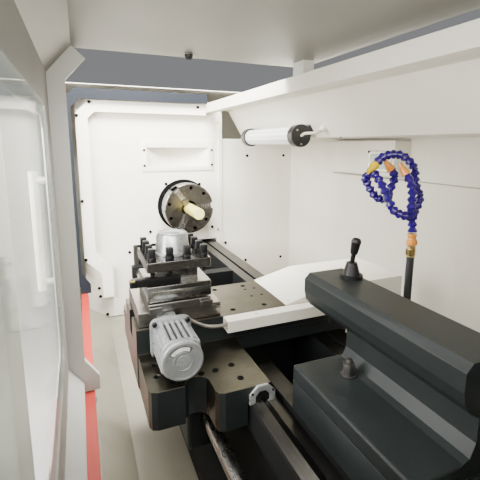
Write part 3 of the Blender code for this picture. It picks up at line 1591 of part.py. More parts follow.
def screw_block(start):
    """Bearing block that holds a journal of the feed screw to the bed's web."""
    back = BED_OUTER_FRONT_Y + WEB_STEP + OVERRUN
    size = FEED_SCREW_RADIUS * 2
    box = block(
        (start, start + FEED_BLOCK),
        (FEED_SCREW_Y - size, back),
        (FEED_SCREW_Z - size, FEED_SCREW_Z + size),
    )
    bore = rod(
        "X",
        (FEED_SCREW_Y, FEED_SCREW_Z),
        start - OVERRUN,
        start + FEED_BLOCK + OVERRUN,
        FEED_SCREW_RADIUS * 0.75 + 2 * GAP,
        2 * SMALL_ROUND,
    )
    return cut(box, bore)


def servo_motor(start, length, size, centre, axis):
    """Square servo motor with a round rear cap."""
    half = size / 2
    a_span = (centre[0] - half, centre[0] + half)
    b_span = (centre[1] - half, centre[1] + half)
    outline = rounded_outline(a_span, b_span, size * 0.12, 2)
    barrel = prism(outline, axis, start, start + length * 0.8)
    cap = rod(axis, centre, start + length * 0.7, start + length, half * 0.85, 2 * SMALL_ROUND)
    return joined(barrel, cap)


def feed_motor():
    return servo_motor(
        FEED_MOTOR_X, FEED_MOTOR_LENGTH, FEED_MOTOR_SIZE, (FEED_SCREW_Y, FEED_SCREW_Z), "X"
    )


def cross_screw():
    return rod(
        "Y",
        (CROSS_X, CROSS_SCREW_Z),
        SLIDE_FRONT_Y,
        SADDLE_REAR_Y,
        CROSS_SCREW_RADIUS,
        SMALL_ROUND,
    )


def cross_motor():
    return servo_motor(
        SADDLE_REAR_Y + GAP, CROSS_MOTOR_LENGTH, CROSS_MOTOR_SIZE, (CROSS_X, CROSS_SCREW_Z), "Y"
    )


def saddle_cover():
    """White sheet cover over the rear of the bridge: a slope, a flat top and side skirts."""
    top, low = COVER_RAISED_Z, SADDLE_TOP_Z + GAP
    path = [
        (COVER_START_Y, low + COVER_SHEET),
        (COVER_BEND_Y, top),
        (COVER_END_Y, top),
        (COVER_END_Y, COVER_SKIRT_Z),
    ]
    sheet = folded(path, -COVER_SHEET, "X", SADDLE_LEFT_X, SADDLE_RIGHT_X)
    sides = []
    for start in (SADDLE_LEFT_X, SADDLE_RIGHT_X - COVER_SHEET):
        outline = [
            (COVER_START_Y, low + COVER_SHEET / 2),
            (COVER_BEND_Y, top - COVER_SHEET / 2),
            (COVER_END_Y - COVER_SHEET / 2, top - COVER_SHEET / 2),
            (COVER_END_Y - COVER_SHEET / 2, COVER_SKIRT_Z),
            (SADDLE_REAR_Y + GAP, COVER_SKIRT_Z),
            (SADDLE_REAR_Y + GAP, low),
            (COVER_START_Y, low),
        ]
        sides.append(prism(outline, "X", start, start + COVER_SHEET))
    return joined(sheet, *sides)


def cable_duct():
    """Rectangular duct on the bridge's right edge, open at its front end for the conduits."""
    left = SADDLE_RIGHT_X + GAP
    y_span = (DUCT_START_Y, DUCT_END_Y)
    z_span = (SADDLE_TOP_Z - DUCT_HEIGHT, SADDLE_TOP_Z)
    duct = block((left, left + DUCT_WIDTH), y_span, z_span, DUCT_WALL / 2)
    hollow = block(
        (left + DUCT_WALL, left + DUCT_WIDTH - DUCT_WALL),
        (y_span[0] - OVERRUN, y_span[1] - DUCT_WALL),
        (z_span[0] + DUCT_WALL, z_span[1] - DUCT_WALL),
    )
    return cut(duct, hollow)


def way_wiper():
    """Plate on the wing's right end with the notch that clears the way's vee."""
    x = WING_RIGHT_X + GAP
    notch = WIPER_NOTCH / 2
    outline = [
        (WIPER_FRONT_Y, WIPER_LOW_Z),
        (VEE_APEX_Y - notch, WIPER_LOW_Z),
        (VEE_APEX_Y, BED_TOP_Z + VEE_RISE + GAP),
        (VEE_APEX_Y + notch, BED_TOP_Z + 2 * GAP),
        (WIPER_REAR_Y, BED_TOP_Z + 2 * GAP),
        (WIPER_REAR_Y, WING_TOP_Z - GAP),
        (WIPER_FRONT_Y, WING_TOP_Z - GAP),
    ]
    plate = prism(outline, "X", x, x + WIPER_THICKNESS)
    return cut(plate, prism(way_relief(), "X", x - OVERRUN, x + WIPER_THICKNESS + OVERRUN))


# Cross slide and tool post


def cross_slide():
    """Slide plate with the nut lug that hangs in the bridge's slot, and the post's pedestal."""
    low = SADDLE_TOP_Z + GAP
    plate = block((SLIDE_LEFT_X, SLIDE_RIGHT_X), (SLIDE_FRONT_Y, SLIDE_REAR_Y), (low, SLIDE_TOP_Z), GAP * 5)
    nut_x = (CROSS_X - NUT_WIDTH / 2, CROSS_X + NUT_WIDTH / 2)
    nut_y = (SLIDE_FRONT_Y + OVERRUN, SLIDE_FRONT_Y + OVERRUN + NUT_LENGTH)
    lug = block(nut_x, nut_y, (CROSS_SLOT_FLOOR_Z + OVERRUN, low + OVERRUN))
    bore = rod(
        "Y",
        (CROSS_X, CROSS_SCREW_Z),
        nut_y[0] - OVERRUN,
        nut_y[1] + OVERRUN,
        CROSS_SCREW_RADIUS + SCREW_CLEARANCE,
        SMALL_ROUND,
    )
    return cut(joined(plate, lug), bore)


def turret_base():
    """Indexing unit between the slide and the post: a square foot, round neck and four clamp lugs."""
    half = POST_SIZE / 2
    x_span, y_span = (POST_X - half, POST_X + half), (POST_Y - half, POST_Y + half)
    foot = block(x_span, y_span, (SLIDE_TOP_Z + GAP, POST_BASE_LOW_Z), GAP * 5)
    neck = rod("Z", (POST_X, POST_Y), POST_BASE_LOW_Z - OVERRUN, POST_SEAT_Z, POST_STEM_RADIUS)
    lugs = []
    for y in (y_span[0] + POST_LUG_LENGTH / 2, y_span[1] - POST_LUG_LENGTH / 2):
        lugs.append(
            block(
                (x_span[1] - OVERRUN, x_span[1] + POST_LUG_WIDTH / 2),
                (y - POST_LUG_LENGTH / 2, y + POST_LUG_LENGTH / 2),
                (SLIDE_TOP_Z + GAP, SLIDE_TOP_Z + GAP + POST_LUG_HEIGHT),
                GAP * 5,
            )
        )
    return joined(foot, neck, *lugs)


def bolt_places():
    """A square ring of bolts with the same number on each edge."""
    half = POST_SIZE / 2 - BOLT_INSET
    steps = [half * (2 * i / (BOLTS_PER_EDGE - 1) - 1) for i in range(BOLTS_PER_EDGE)]
    return [(x, y) for x in steps for y in steps if max(abs(x), abs(y)) > half - GAP]


def turret_head():
    """Four-way post: floor plate, core and top plate leave a tool slot on each side."""
    half, core = POST_SIZE / 2, POST_CORE_SIZE / 2
    wide = ((POST_X - half, POST_X + half), (POST_Y - half, POST_Y + half))
    inner = ((POST_X - core, POST_X + core), (POST_Y - core, POST_Y + core))
    low = POST_SEAT_Z + GAP
    top = block(*wide, (POST_PLATE_LOW_Z, POST_PLATE_HIGH_Z), GAP * 5)
    middle = block(*inner, (low + POST_FLOOR / 2, POST_PLATE_LOW_Z + OVERRUN))
    floor = block(*wide, (low, low + POST_FLOOR), GAP * 5)
    bolts = []
    for dx, dy in bolt_places():
        centre = (POST_X + dx, POST_Y + dy)
        base = POST_PLATE_HIGH_Z
        collar_top = base + BOLT_COLLAR_HEIGHT
        square = BOLT_HEAD / math.sqrt(2)
        bolts.append(rod("Z", centre, base - OVERRUN, collar_top, BOLT_COLLAR_RADIUS, 8))
        bolts.append(
            rod("Z", centre, collar_top - OVERRUN, collar_top + BOLT_HEAD_HEIGHT, square, 4, math.pi / 4)
        )
        bolts.append(
            rod("Z", centre, POST_PLATE_LOW_Z - BOLT_HEAD, POST_PLATE_LOW_Z + OVERRUN, BOLT_SHANK_RADIUS, 6)
        )
    return joined(top, middle, floor, *bolts)


def turret_cap():
    """Domed cover of the post's indexing shaft."""
    base = POST_PLATE_HIGH_Z + GAP
    profile = [
        (base, CAP_FLANGE_RADIUS),
        (base + CAP_FLANGE_HEIGHT, CAP_FLANGE_RADIUS),
        (base + CAP_FLANGE_HEIGHT, CAP_RADIUS),
        (base + CAP_HEIGHT * 0.65, CAP_RADIUS * 0.96),
    ]
    crown = CAP_HEIGHT * 0.35
    for i in range(1, 6):
        angle = math.pi / 2 * i / 6
        radius = CAP_TOP_RADIUS + (CAP_RADIUS * 0.96 - CAP_TOP_RADIUS) * math.cos(angle)
        profile.append((base + CAP_HEIGHT * 0.65 + crown * math.sin(angle), radius))
    profile.append((base + CAP_HEIGHT, CAP_TOP_RADIUS * 0.5))
    profile.append((base + CAP_HEIGHT, 0))
    return turned(profile, "Z", (POST_X, POST_Y), 2 * SMALL_ROUND)


def turning_tool():
    """Square shank in the right-hand slot with a carbide tip, pointing to the operator."""
    half, core = POST_SIZE / 2, POST_CORE_SIZE / 2
    left = POST_X + core + GAP
    low = POST_SEAT_Z + GAP + POST_FLOOR + GAP
    front = POST_Y - half - TOOL_OVERHANG
    shank_x = (left, left + TOOL_SIZE)
    high = low + TOOL_SIZE - TOOL_CLEARANCE
    shank = block(shank_x, (front + INSERT_SIDE / 2, POST_Y + half), (low, high))
    nose = prism(
        [
            (shank_x[0], front + INSERT_SIDE),
            (shank_x[1], front + INSERT_SIDE),
            (shank_x[1] + TOOL_SIZE * 0.15, front + INSERT_SIDE * 0.3),
            (shank_x[1] - INSERT_SIDE, front),
            (shank_x[0], front + INSERT_SIDE * 0.5),
        ],
        "Z",
        low + OVERRUN / 2,
        high - INSERT_THICKNESS / 2,
    )
    return joined(shank, nose, tool_insert())


def tool_insert():
    """Rhombic insert on the shank's nose."""
    half, core = POST_SIZE / 2, POST_CORE_SIZE / 2
    right = POST_X + core + GAP + TOOL_SIZE
    front = POST_Y - half - TOOL_OVERHANG
    top = POST_SEAT_Z + 2 * GAP + POST_FLOOR + TOOL_SIZE - TOOL_CLEARANCE
    corner = (right + TOOL_SIZE * 0.25, front - TOOL_CLEARANCE / 2)
    outline = [
        corner,
        (corner[0] - INSERT_SIDE * 0.2, corner[1] + INSERT_SIDE),
        (corner[0] - INSERT_SIDE * 1.2, corner[1] + INSERT_SIDE * 1.1),
        (corner[0] - INSERT_SIDE, corner[1] + INSERT_SIDE * 0.1),
    ]
    return prism(outline, "Z", top - INSERT_THICKNESS, top + INSERT_THICKNESS / 4)


def turret_motor():
    """Finned indexing motor on an arm from the slide, with a square flange and a round end cap."""
    centre = (MOTOR_POST_Y, MOTOR_POST_Z)
    start, end = MOTOR_POST_START_X, MOTOR_POST_END_X
    cap = end - MOTOR_POST_CAP_LENGTH
    flange_span = (MOTOR_POST_Y - MOTOR_POST_FLANGE, MOTOR_POST_Y + MOTOR_POST_FLANGE)
    up_span = (MOTOR_POST_Z - MOTOR_POST_FLANGE, MOTOR_POST_Z + MOTOR_POST_FLANGE)
    outline = rounded_outline(flange_span, up_span, MOTOR_POST_FLANGE * 0.35, 3)
    first = prism(outline, "X", start, start + MOTOR_POST_CAP_LENGTH)
    second = prism(outline, "X", cap - MOTOR_POST_CAP_LENGTH * 0.5, cap)
    middle = fins(
        start + OVERRUN, cap - OVERRUN, centre, MOTOR_POST_RADIUS, MOTOR_POST_FIN_DEPTH, MOTOR_POST_FINS
    )
    nose = turned(
        [
            (cap - OVERRUN, MOTOR_POST_RADIUS),
            (end - MOTOR_POST_CAP_LENGTH * 0.5, MOTOR_POST_RADIUS),
            (end, MOTOR_POST_RADIUS * 0.78),
        ],
        "X",
        centre,
        2 * SMALL_ROUND,
    )
    arm = block(
        (SLIDE_RIGHT_X + GAP, start + OVERRUN),
        (MOTOR_POST_Y - MOTOR_ARM_WIDTH / 2, MOTOR_POST_Y + MOTOR_ARM_WIDTH / 2),
        (SADDLE_TOP_Z + 2 * GAP, SLIDE_TOP_Z - OVERRUN),
    )
    return cut(joined(first, second, middle, nose, arm), block(*wing_clearance()))


def wing_clearance():
    """Room over the saddle's wing, so that the motor slides across it."""
    return (
        (MOTOR_POST_START_X - 2 * MOTOR_POST_FLANGE, MOTOR_POST_END_X + OVERRUN),
        (MOTOR_POST_Y - 2 * MOTOR_POST_FLANGE, MOTOR_POST_Y + 2 * MOTOR_POST_FLANGE),
        (MOTOR_POST_Z - 2 * MOTOR_POST_FLANGE, WING_TOP_Z + 2 * GAP),
    )


def conduit_line(side):
    """One conduit from the motor's flange into the open end of the duct."""
    x_end = SADDLE_RIGHT_X + GAP + DUCT_WIDTH / 2 + side * CONDUIT_PITCH / 2
    z_end = SADDLE_TOP_Z - DUCT_HEIGHT / 2
    x_start = MOTOR_POST_START_X + CONDUIT_PITCH + side * CONDUIT_PITCH / 2
    y_start = MOTOR_POST_Y + MOTOR_POST_FLANGE + GAP
    points = [
        Vector((x_start, y_start, z_end)),
        Vector((x_start, y_start + CONDUIT_PITCH, z_end)),
        Vector((x_end, DUCT_START_Y - 2 * CONDUIT_PITCH, z_end)),
        Vector((x_end, DUCT_START_Y, z_end)),
        Vector((x_end, DUCT_START_Y + CONDUIT_REACH, z_end)),
    ]
    route = smooth_route(points, 2 * CONDUIT_RADIUS)
    return swept(route, [CONDUIT_RADIUS] * len(route), 10)


def motor_conduits():
    """The motor's two conduits, side by side in one sleeve."""
    return joined(conduit_line(-1), conduit_line(1))


# Tailstock and coolant supply


def barrel_outline():
    """Flat-topped barrel with shoulders, sides and a round belly, in (y, z)."""
    half, shoulder = TAIL_HALF_WIDTH, TAIL_SHOULDER
    outline = [
        (half, 0),
        (half, TAIL_TOP_Z - shoulder),
        (half - shoulder, TAIL_TOP_Z),
        (shoulder - half, TAIL_TOP_Z),
        (-half, TAIL_TOP_Z - shoulder),
        (-half, 0),
    ]
    for i in range(1, 8):
        angle = math.pi + math.pi * i / 8
        outline.append((half * math.cos(angle), -TAIL_BOTTOM_Z * math.sin(angle)))
    return outline


def web_outline():
    """Web between the barrel and the base, flared into both, in (y, z)."""
    front, rear, flare = TAIL_WEB_FRONT_Y, TAIL_WEB_REAR_Y, TAIL_WEB_FLARE
    low, high = TAIL_BASE_TOP_Z - OVERRUN, 0
    knee = low + flare
    return [
        (front - flare, low),
        (rear + flare, low),
        (rear + flare * 0.3, low + flare * 0.3),
        (rear, knee),
        (rear, high),
        (front, high),
        (front, knee),
        (front - flare * 0.3, low + flare * 0.3),
    ]


def tailstock_casting():
    """Casting with the barrel, its web and the upper base, bored for the quill."""
    end = TAIL_START_X + TAIL_LENGTH
    barrel = prism(barrel_outline(), "X", TAIL_START_X, end)
    web = prism(web_outline(), "X", TAIL_WEB_START_X, end)
    base = block(
        (TAIL_BASE_START_X, TAIL_BASE_START_X + TAIL_BASE_LENGTH),
        (TAIL_BASE_FRONT_Y, TAIL_BASE_REAR_Y),
        (TAIL_BASE_TOP_Z - TAIL_BASE_STEP, TAIL_BASE_TOP_Z),
        WING_CORNER / 4,
    )
    made = joined(barrel, web, base)
    bore = rod("X", (0, 0), TAIL_START_X - OVERRUN, end - OVERRUN, QUILL_RADIUS + GAP)
    shaft = rod("X", (0, 0), TAIL_START_X, end + TAIL_PLATE, QUILL_SCREW_RADIUS + 2 * GAP, 2 * SMALL_ROUND)
    return cut(made, bore, shaft)


def tailstock_base():
    """Lower base that follows the front way and rests on the rear one."""
    box = block(
        (TAIL_BASE_START_X, TAIL_BASE_START_X + TAIL_BASE_LENGTH),
        (BED_OUTER_FRONT_Y - OVERRUN / 2, BED_OUTER_REAR_Y),
        (BED_TOP_Z - OVERRUN, TAIL_BASE_TOP_Z - TAIL_BASE_STEP - GAP),
        WING_CORNER / 4,
    )
    return cut(box, prism(way_relief(), "X", TAIL_BASE_START_X - OVERRUN, TAIL_BASE_START_X + 2 * TAIL_BASE_LENGTH))


def quill():
    """Quill with a taper socket in front and a bore for its screw behind."""
    front = TAIL_START_X - QUILL_PROUD
    back = front + QUILL_LENGTH
    edge = QUILL_RADIUS * 0.06
    profile = [
        (front + edge, QUILL_RADIUS),
        (back, QUILL_RADIUS),
        (back, QUILL_SCREW_RADIUS + 3 * GAP),
        (back - QUILL_SCREW_DEPTH, QUILL_SCREW_RADIUS + 3 * GAP),
        (front + QUILL_TAPER_DEPTH, QUILL_TAPER_RADIUS * 0.8),
        (front, QUILL_TAPER_RADIUS),
        (front, QUILL_RADIUS - edge),
    ]
    return turned(profile, "X", (0, 0), closed=True)


def handwheel():
    """Handwheel in one solid with its screw: a rim, four spokes, hub, crank and the quill screw."""
    hub_end = HANDWHEEL_X + HANDWHEEL_HUB_LENGTH
    screw_start = TAIL_START_X - QUILL_PROUD + QUILL_LENGTH - QUILL_SCREW_DEPTH * 0.4
    core = turned(
        [
            (screw_start, QUILL_SCREW_RADIUS),
            (HANDWHEEL_X, QUILL_SCREW_RADIUS),
            (HANDWHEEL_X, HANDWHEEL_HUB_RADIUS),
            (hub_end, HANDWHEEL_HUB_RADIUS * 0.9),
        ],
        "X",
        (0, 0),
        2 * SMALL_ROUND,
    )
    middle = HANDWHEEL_X + HANDWHEEL_HUB_LENGTH / 2
    rim_profile = [
        (middle + HANDWHEEL_RIM * math.cos(a), HANDWHEEL_RADIUS + HANDWHEEL_RIM * math.sin(a)) for a in ring_of(6)
    ]
    rim = turned(rim_profile, "X", (0, 0), 2 * SMALL_ROUND, closed=True)
    spoke = HANDWHEEL_SPOKE / 2
    arms = [
        block((middle - spoke, middle + spoke), (-HANDWHEEL_RADIUS, HANDWHEEL_RADIUS), (-spoke, spoke)),
        block((middle - spoke, middle + spoke), (-spoke, spoke), (-HANDWHEEL_RADIUS, HANDWHEEL_RADIUS)),
    ]
    crank = rod("X", (0, HANDWHEEL_RADIUS), middle, middle + CRANK_LENGTH, CRANK_RADIUS, SMALL_ROUND)
    return joined(core, rim, *arms, crank)


def tilted(made):
    return turn_about(made, LEVER_TILT, "Y", (LEVER_X, LEVER_Y, BARREL_TOP + LEVER_CONE_HEIGHT))


def clamp_lever():
    """Turned clamping cone on a flange with the bent lever rod in its top."""
    base = BARREL_TOP
    flange = base + LEVER_FLANGE_HEIGHT
    top = base + LEVER_CONE_HEIGHT
    cone = turned(
        [
            (base, LEVER_FLANGE_RADIUS),
            (flange, LEVER_FLANGE_RADIUS),
            (flange, LEVER_CONE_LOW_RADIUS),
            (top, LEVER_CONE_HIGH_RADIUS),
        ],
        "Z",
        (LEVER_X, LEVER_Y),
        2 * SMALL_ROUND,
    )
    stem = rod("Z", (LEVER_X, LEVER_Y), top - LEVER_CONE_HIGH_RADIUS, top + LEVER_ROD_LENGTH, LEVER_ROD_RADIUS, 12)
    return joined(cone, tilted(stem), lever_grip())


def lever_grip():
    """Moulded grip on the rod."""
    low = BARREL_TOP + LEVER_CONE_HEIGHT + LEVER_ROD_LENGTH - OVERRUN
    profile = [
        (low, GRIP_LOW_RADIUS * 0.8),
        (low + GRIP_LOW_RADIUS * 0.4, GRIP_LOW_RADIUS),
        (low + GRIP_LENGTH * 0.8, GRIP_HIGH_RADIUS),
        (low + GRIP_LENGTH * 0.95, GRIP_HIGH_RADIUS * 0.75),
        (low + GRIP_LENGTH, 0),
    ]
    return tilted(turned(profile, "Z", (LEVER_X, LEVER_Y), SMALL_ROUND))


def clamp_nut():
    """Hexagon nut and washer on the clamping stud, in front of the web."""
    base = TAIL_BASE_TOP_Z + GAP
    washer = rod("Z", (CLAMP_X, CLAMP_Y), base, base + CLAMP_WASHER, CLAMP_WASHER_RADIUS, 2 * SMALL_ROUND)
    nut_low = base + CLAMP_WASHER - OVERRUN / 4
    nut_top = base + CLAMP_WASHER + CLAMP_NUT_HEIGHT
    nut = rod("Z", (CLAMP_X, CLAMP_Y), nut_low, nut_top, CLAMP_NUT_RADIUS, 6)
    stud = rod("Z", (CLAMP_X, CLAMP_Y), nut_low, nut_top + CLAMP_STUD_PROUD, CLAMP_STUD_RADIUS, SMALL_ROUND)
    return joined(washer, nut, stud)


def coolant_pipe():
    """Straight pipe that stands on the tailstock's base, with its brass union on top."""
    pipe = rod("Z", (PIPE_X, PIPE_Y), TAIL_BASE_TOP_Z + GAP, PIPE_TOP_Z, PIPE_RADIUS, SMALL_ROUND)
    return joined(pipe, pipe_fitting())


def pipe_fitting():
    """Brass union: a hexagon on a round collar."""
    low = PIPE_TOP_Z - OVERRUN / 2
    third = FITTING_LENGTH / 3
    collar = rod("Z", (PIPE_X, PIPE_Y), low, low + FITTING_LENGTH, FITTING_RADIUS * 0.85, SMALL_ROUND)
    hexagon = rod("Z", (PIPE_X, PIPE_Y), low + third * 0.5, low + 2.2 * third, FITTING_RADIUS, 6)
    return joined(collar, hexagon)


def hose_adapter():
    low = FITTING_TOP_Z + GAP
    profile = [
        (low, ADAPTER_RADIUS),
        (low + ADAPTER_LENGTH * 0.45, ADAPTER_RADIUS),
        (low + ADAPTER_LENGTH * 0.6, ADAPTER_TOP_RADIUS * 0.8),
        (low + ADAPTER_LENGTH, ADAPTER_TOP_RADIUS),
    ]
    return turned(profile, "Z", (PIPE_X, PIPE_Y), SMALL_ROUND)


def hose_foot():
    return Vector((PIPE_X, PIPE_Y, FITTING_TOP_Z + GAP + ADAPTER_LENGTH - OVERRUN))


# Routes of the three hose arms, in steps of half a segment from the adapter's top
ARM_STEP = HOSE_SEGMENT / 2
ARM_A = (
    (0.0, 0.0, 0.0), (-0.8, 0.5, 5.4), (-1.4, 3.4, 10.6), (-3.4, 3.2, 15.8),
    (-4.6, 3.0, 21.1), (-6.1, -1.1, 25.0), (-6.6, -7.7, 24.8), (-6.1, -12.2, 21.8),
)
ARM_B = (
    (0.2, -3.4, 5.7), (-0.5, -8.0, 7.7), (-1.6, -10.2, 12.3), (-3.4, -11.5, 16.3),
    (-6.7, -11.7, 19.2), (-10.2, -11.7, 17.6), (-10.1, -10.1, 14.1), (-8.8, -8.0, 11.0),
    (-7.6, -5.3, 10.6), (-7.0, -3.7, 14.4), (-6.8, -3.0, 18.2), (-7.4, -5.3, 21.8),
)
ARM_C = (
    (0.6, -2.0, 7.7), (0.5, -1.9, 13.0), (-0.6, -2.2, 16.8), (-2.7, -3.4, 20.8),
)


def hose_arm(route):
    """Segmented hose: each segment swells from its neck to the ball that the next one grips."""
    foot = hose_foot()
    points = smooth_route([foot + Vector(step) * ARM_STEP for step in route], ARM_STEP)
    radii = [HOSE_THICK_RADIUS if i % 2 == 0 else HOSE_THIN_RADIUS for i in range(len(points))]
    return swept(points, radii, HOSE_SIDES)


def coolant_hose():
    """Adapter, the three arms that branch from its trunk, and a nozzle on each."""
    trunk = ARM_A[1]
    arms = [ARM_A, (trunk,) + ARM_B, (trunk,) + ARM_C]
    pieces = [hose_arm(route) for route in arms]
    pieces += [hose_nozzle(route, length) for route, length in zip(arms, NOZZLE_LENGTHS)]
    return joined(hose_adapter(), *pieces)


def hose_nozzle(route, length):
    """Nozzle on the end of an arm, narrowing to its mouth."""
    foot = hose_foot()
    end = foot + Vector(route[-1]) * ARM_STEP
    heading = (Vector(route[-1]) - Vector(route[-2])).normalized()
    start = end - heading * (HOSE_THICK_RADIUS * 0.3)
    shares = ((0.0, 1.0), (0.35, 1.0), (0.6, 0.6), (1.0, NOZZLE_TIP_RADIUS / HOSE_THICK_RADIUS))
    points = [start + heading * (length * along_share) for along_share, _ in shares]
    return swept(points, [HOSE_THICK_RADIUS * share for _, share in shares], 10)


# Operator's panel


def control_box():
    """Cabinet with a recessed screen above a level row of switches."""
    face = CONTROL_FACE_Y
    back = COVER_FRONT_Y - GAP
    low, high = CONTROL_LOW_Z, CONTROL_LOW_Z + CONTROL_HEIGHT
    outline = [(back, low), (face, low), (face, high), (back, high)]
    box = softened(prism(outline, "X", CONTROL_LEFT_X, CONTROL_LEFT_X + CONTROL_LENGTH), CONTROL_CORNER, 2)
    sockets = [
        rod("Y", (x, CONTROL_ROW), face - OVERRUN, face + depth, radius + 2 * GAP, 2 * SMALL_ROUND)
        for x, radius, depth in (
            (STOP_X, STOP_NECK_RADIUS, STOP_DEPTH + STOP_TRAVEL),
            (START_X, BUTTON_RADIUS, BUTTON_HEIGHT),
        )
    ]
    left = CONTROL_LEFT_X + SCREEN_INSET_X
    high = CONTROL_LOW_Z + CONTROL_HEIGHT - SCREEN_DROP
    recess = block(
        (left, left + SCREEN_LENGTH), (face - OVERRUN, face + SCREEN_DEPTH), (high - SCREEN_HEIGHT, high)
    )
    return cut(box, recess, *sockets)


def stop_button():
    """Mushroom head on a neck that runs in the cabinet's socket."""
    face = CONTROL_FACE_Y
    profile = [
        (face + STOP_DEPTH, STOP_NECK_RADIUS),
        (face - STOP_NECK, STOP_NECK_RADIUS),
        (face - STOP_NECK, STOP_RADIUS),
        (face - STOP_NECK - STOP_HEAD * 0.6, STOP_RADIUS),
        (face - STOP_NECK - STOP_HEAD, STOP_RADIUS * 0.55),
    ]
    return turned(profile, "Y", (STOP_X, CONTROL_ROW), 2 * SMALL_ROUND)


def start_button():
    face = CONTROL_FACE_Y
    return rod(
        "Y",
        (START_X, CONTROL_ROW),
        face - BUTTON_HEIGHT / 2,
        face + BUTTON_HEIGHT - BUTTON_TRAVEL - GAP,
        BUTTON_RADIUS,
        2 * SMALL_ROUND,
    )


def feed_dial():
    """Knurled dial that turns on the cabinet's face."""
    face = CONTROL_FACE_Y - GAP
    outline = []
    for i, angle in enumerate(ring_of(2 * SMALL_ROUND)):
        radius = DIAL_RADIUS * (1 if i % 2 else 0.95)
        outline.append((DIAL_X + radius * math.cos(angle), CONTROL_ROW + radius * math.sin(angle)))
    return prism(outline, "Y", face - DIAL_HEIGHT, face)


def build():
    bodies()
    node("left_pedestal", pedestal(LEFT_PEDESTAL_START_X, LEFT_PEDESTAL_END_X, TRAY_FLOOR_Z, True), "cast_paint")
    node(
        "right_pedestal",
        pedestal(RIGHT_PEDESTAL_START_X, RIGHT_PEDESTAL_END_X, TRAY_FLOOR_Z - SHEET - GAP, False),
        "cast_paint",
    )
    node("bed", bed(), "ground_steel")
    node("chip_tray", chip_tray(), "tray_paint")
    node("left_cover", left_cover(), "white_paint")
    node("right_cover", right_cover(), "white_paint")
    node("base_skirt", base_skirt(), "blue_grey_paint")
    node("rear_wall", rear_wall(), "white_paint")
    node("hood", hood(), "white_paint")
    node("rail_beam", rail_beam(), "white_paint")
    node("door_frame", door_frame(), "blue_grey_paint")
    node("frame_strip", frame_strip(), "white_paint")
    node("door_sill", door_sill(), "red_paint")
    node("headstock_panel", headstock_panel(), "white_paint")
    node("rear_bulkhead", rear_bulkhead(), "white_paint")
    node("headstock_housing", headstock_housing(), "cast_paint")
    node("front_bearing", bearing(HEADSTOCK_RIGHT_X - BEARING_WIDTH), "bright_steel")
    node("rear_bearing", bearing(HEADSTOCK_LEFT_X), "bright_steel")
    node("main_motor", main_motor(), "cast_paint")
    node("drive_belt", drive_belt(), "black_rubber")
    node("work_lamp", work_lamp(), "lamp_glass")
    node("lamp_cable", lamp_cable(), "beige_cable")
    node("feed_motor", feed_motor(), "black_steel")
    node("control_box", control_box(), "white_paint")

    node("spindle", spindle(), "bright_steel", "spindle_body")
    node("spindle_pulley", pulley((0, 0), PULLEY_RADIUS, SPINDLE_RADIUS + GAP), "cast_aluminium", "spindle_body")
    node("chuck_body", chuck_body(), "bright_steel", "spindle_body")
    node("bar_stock", bar_stock(), "yellow_bar", "spindle_body")
    node(
        "motor_pulley",
        pulley((MOTOR_Y, MOTOR_Z), MOTOR_PULLEY_RADIUS, MOTOR_SHAFT_RADIUS + GAP),
        "cast_aluminium",
        "motor_shaft_body",
    )
    for i, angle in enumerate(ring_of(JAW_COUNT, JAW_FIRST_ANGLE)):
        node(f"chuck_jaw_{i + 1}", chuck_jaw(angle), "bright_steel", f"jaw_body_{i + 1}")

    node("sliding_door", sliding_door(), "white_paint", "door_body")
    node("door_window", door_window(), "window_glass", "door_body")

    node("feed_screw", feed_screw(), "bright_steel", "feed_screw_body")
    node("saddle", saddle(), "ground_steel", "carriage_body")
    node("apron", apron(), "dark_paint", "carriage_body")
    node("cross_motor", cross_motor(), "black_steel", "carriage_body")
    node("saddle_cover", saddle_cover(), "white_paint", "carriage_body")
    node("cable_duct", cable_duct(), "white_paint", "carriage_body")
    node("way_wiper", way_wiper(), "bright_steel", "carriage_body")
    node("cross_screw", cross_screw(), "bright_steel", "cross_screw_body")
    node("cross_slide", cross_slide(), "ground_steel", "cross_body")
    node("turret_base", turret_base(), "ground_steel", "cross_body")
    node("turret_motor", turret_motor(), "cast_aluminium", "cross_body")
    node("motor_conduits", motor_conduits(), "bright_steel", "cross_body")
    node("turret_head", turret_head(), "black_steel", "post_body")
    node("turret_cap", turret_cap(), "cast_aluminium", "post_body")
    node("turning_tool", turning_tool(), "black_steel", "post_body")

    node("tailstock_base", tailstock_base(), "dark_paint", "tailstock_body")
    node("tailstock_casting", tailstock_casting(), "dark_paint", "tailstock_body")
    node("clamp_nut", clamp_nut(), "bright_steel", "tailstock_body")
    node("coolant_pipe", coolant_pipe(), "black_rubber", "tailstock_body")
    node("coolant_hose", coolant_hose(), "blue_plastic", "tailstock_body")
    node("quill", quill(), "bright_steel", "quill_body")
    node("handwheel", handwheel(), "black_steel", "handwheel_body")
    node("clamp_lever", clamp_lever(), "black_steel", "lever_body")

    node("stop_button", stop_button(), "red_plastic", "stop_body")
    node("start_button", start_button(), "green_plastic", "start_body")
    node("feed_dial", feed_dial(), "black_steel", "dial_body")


build()
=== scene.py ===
"""Looks of the CNC turning lathe: finishes for every node, the detailed pieces, lights and camera."""

import math

import bmesh
import bpy
from mathutils import Matrix, Vector


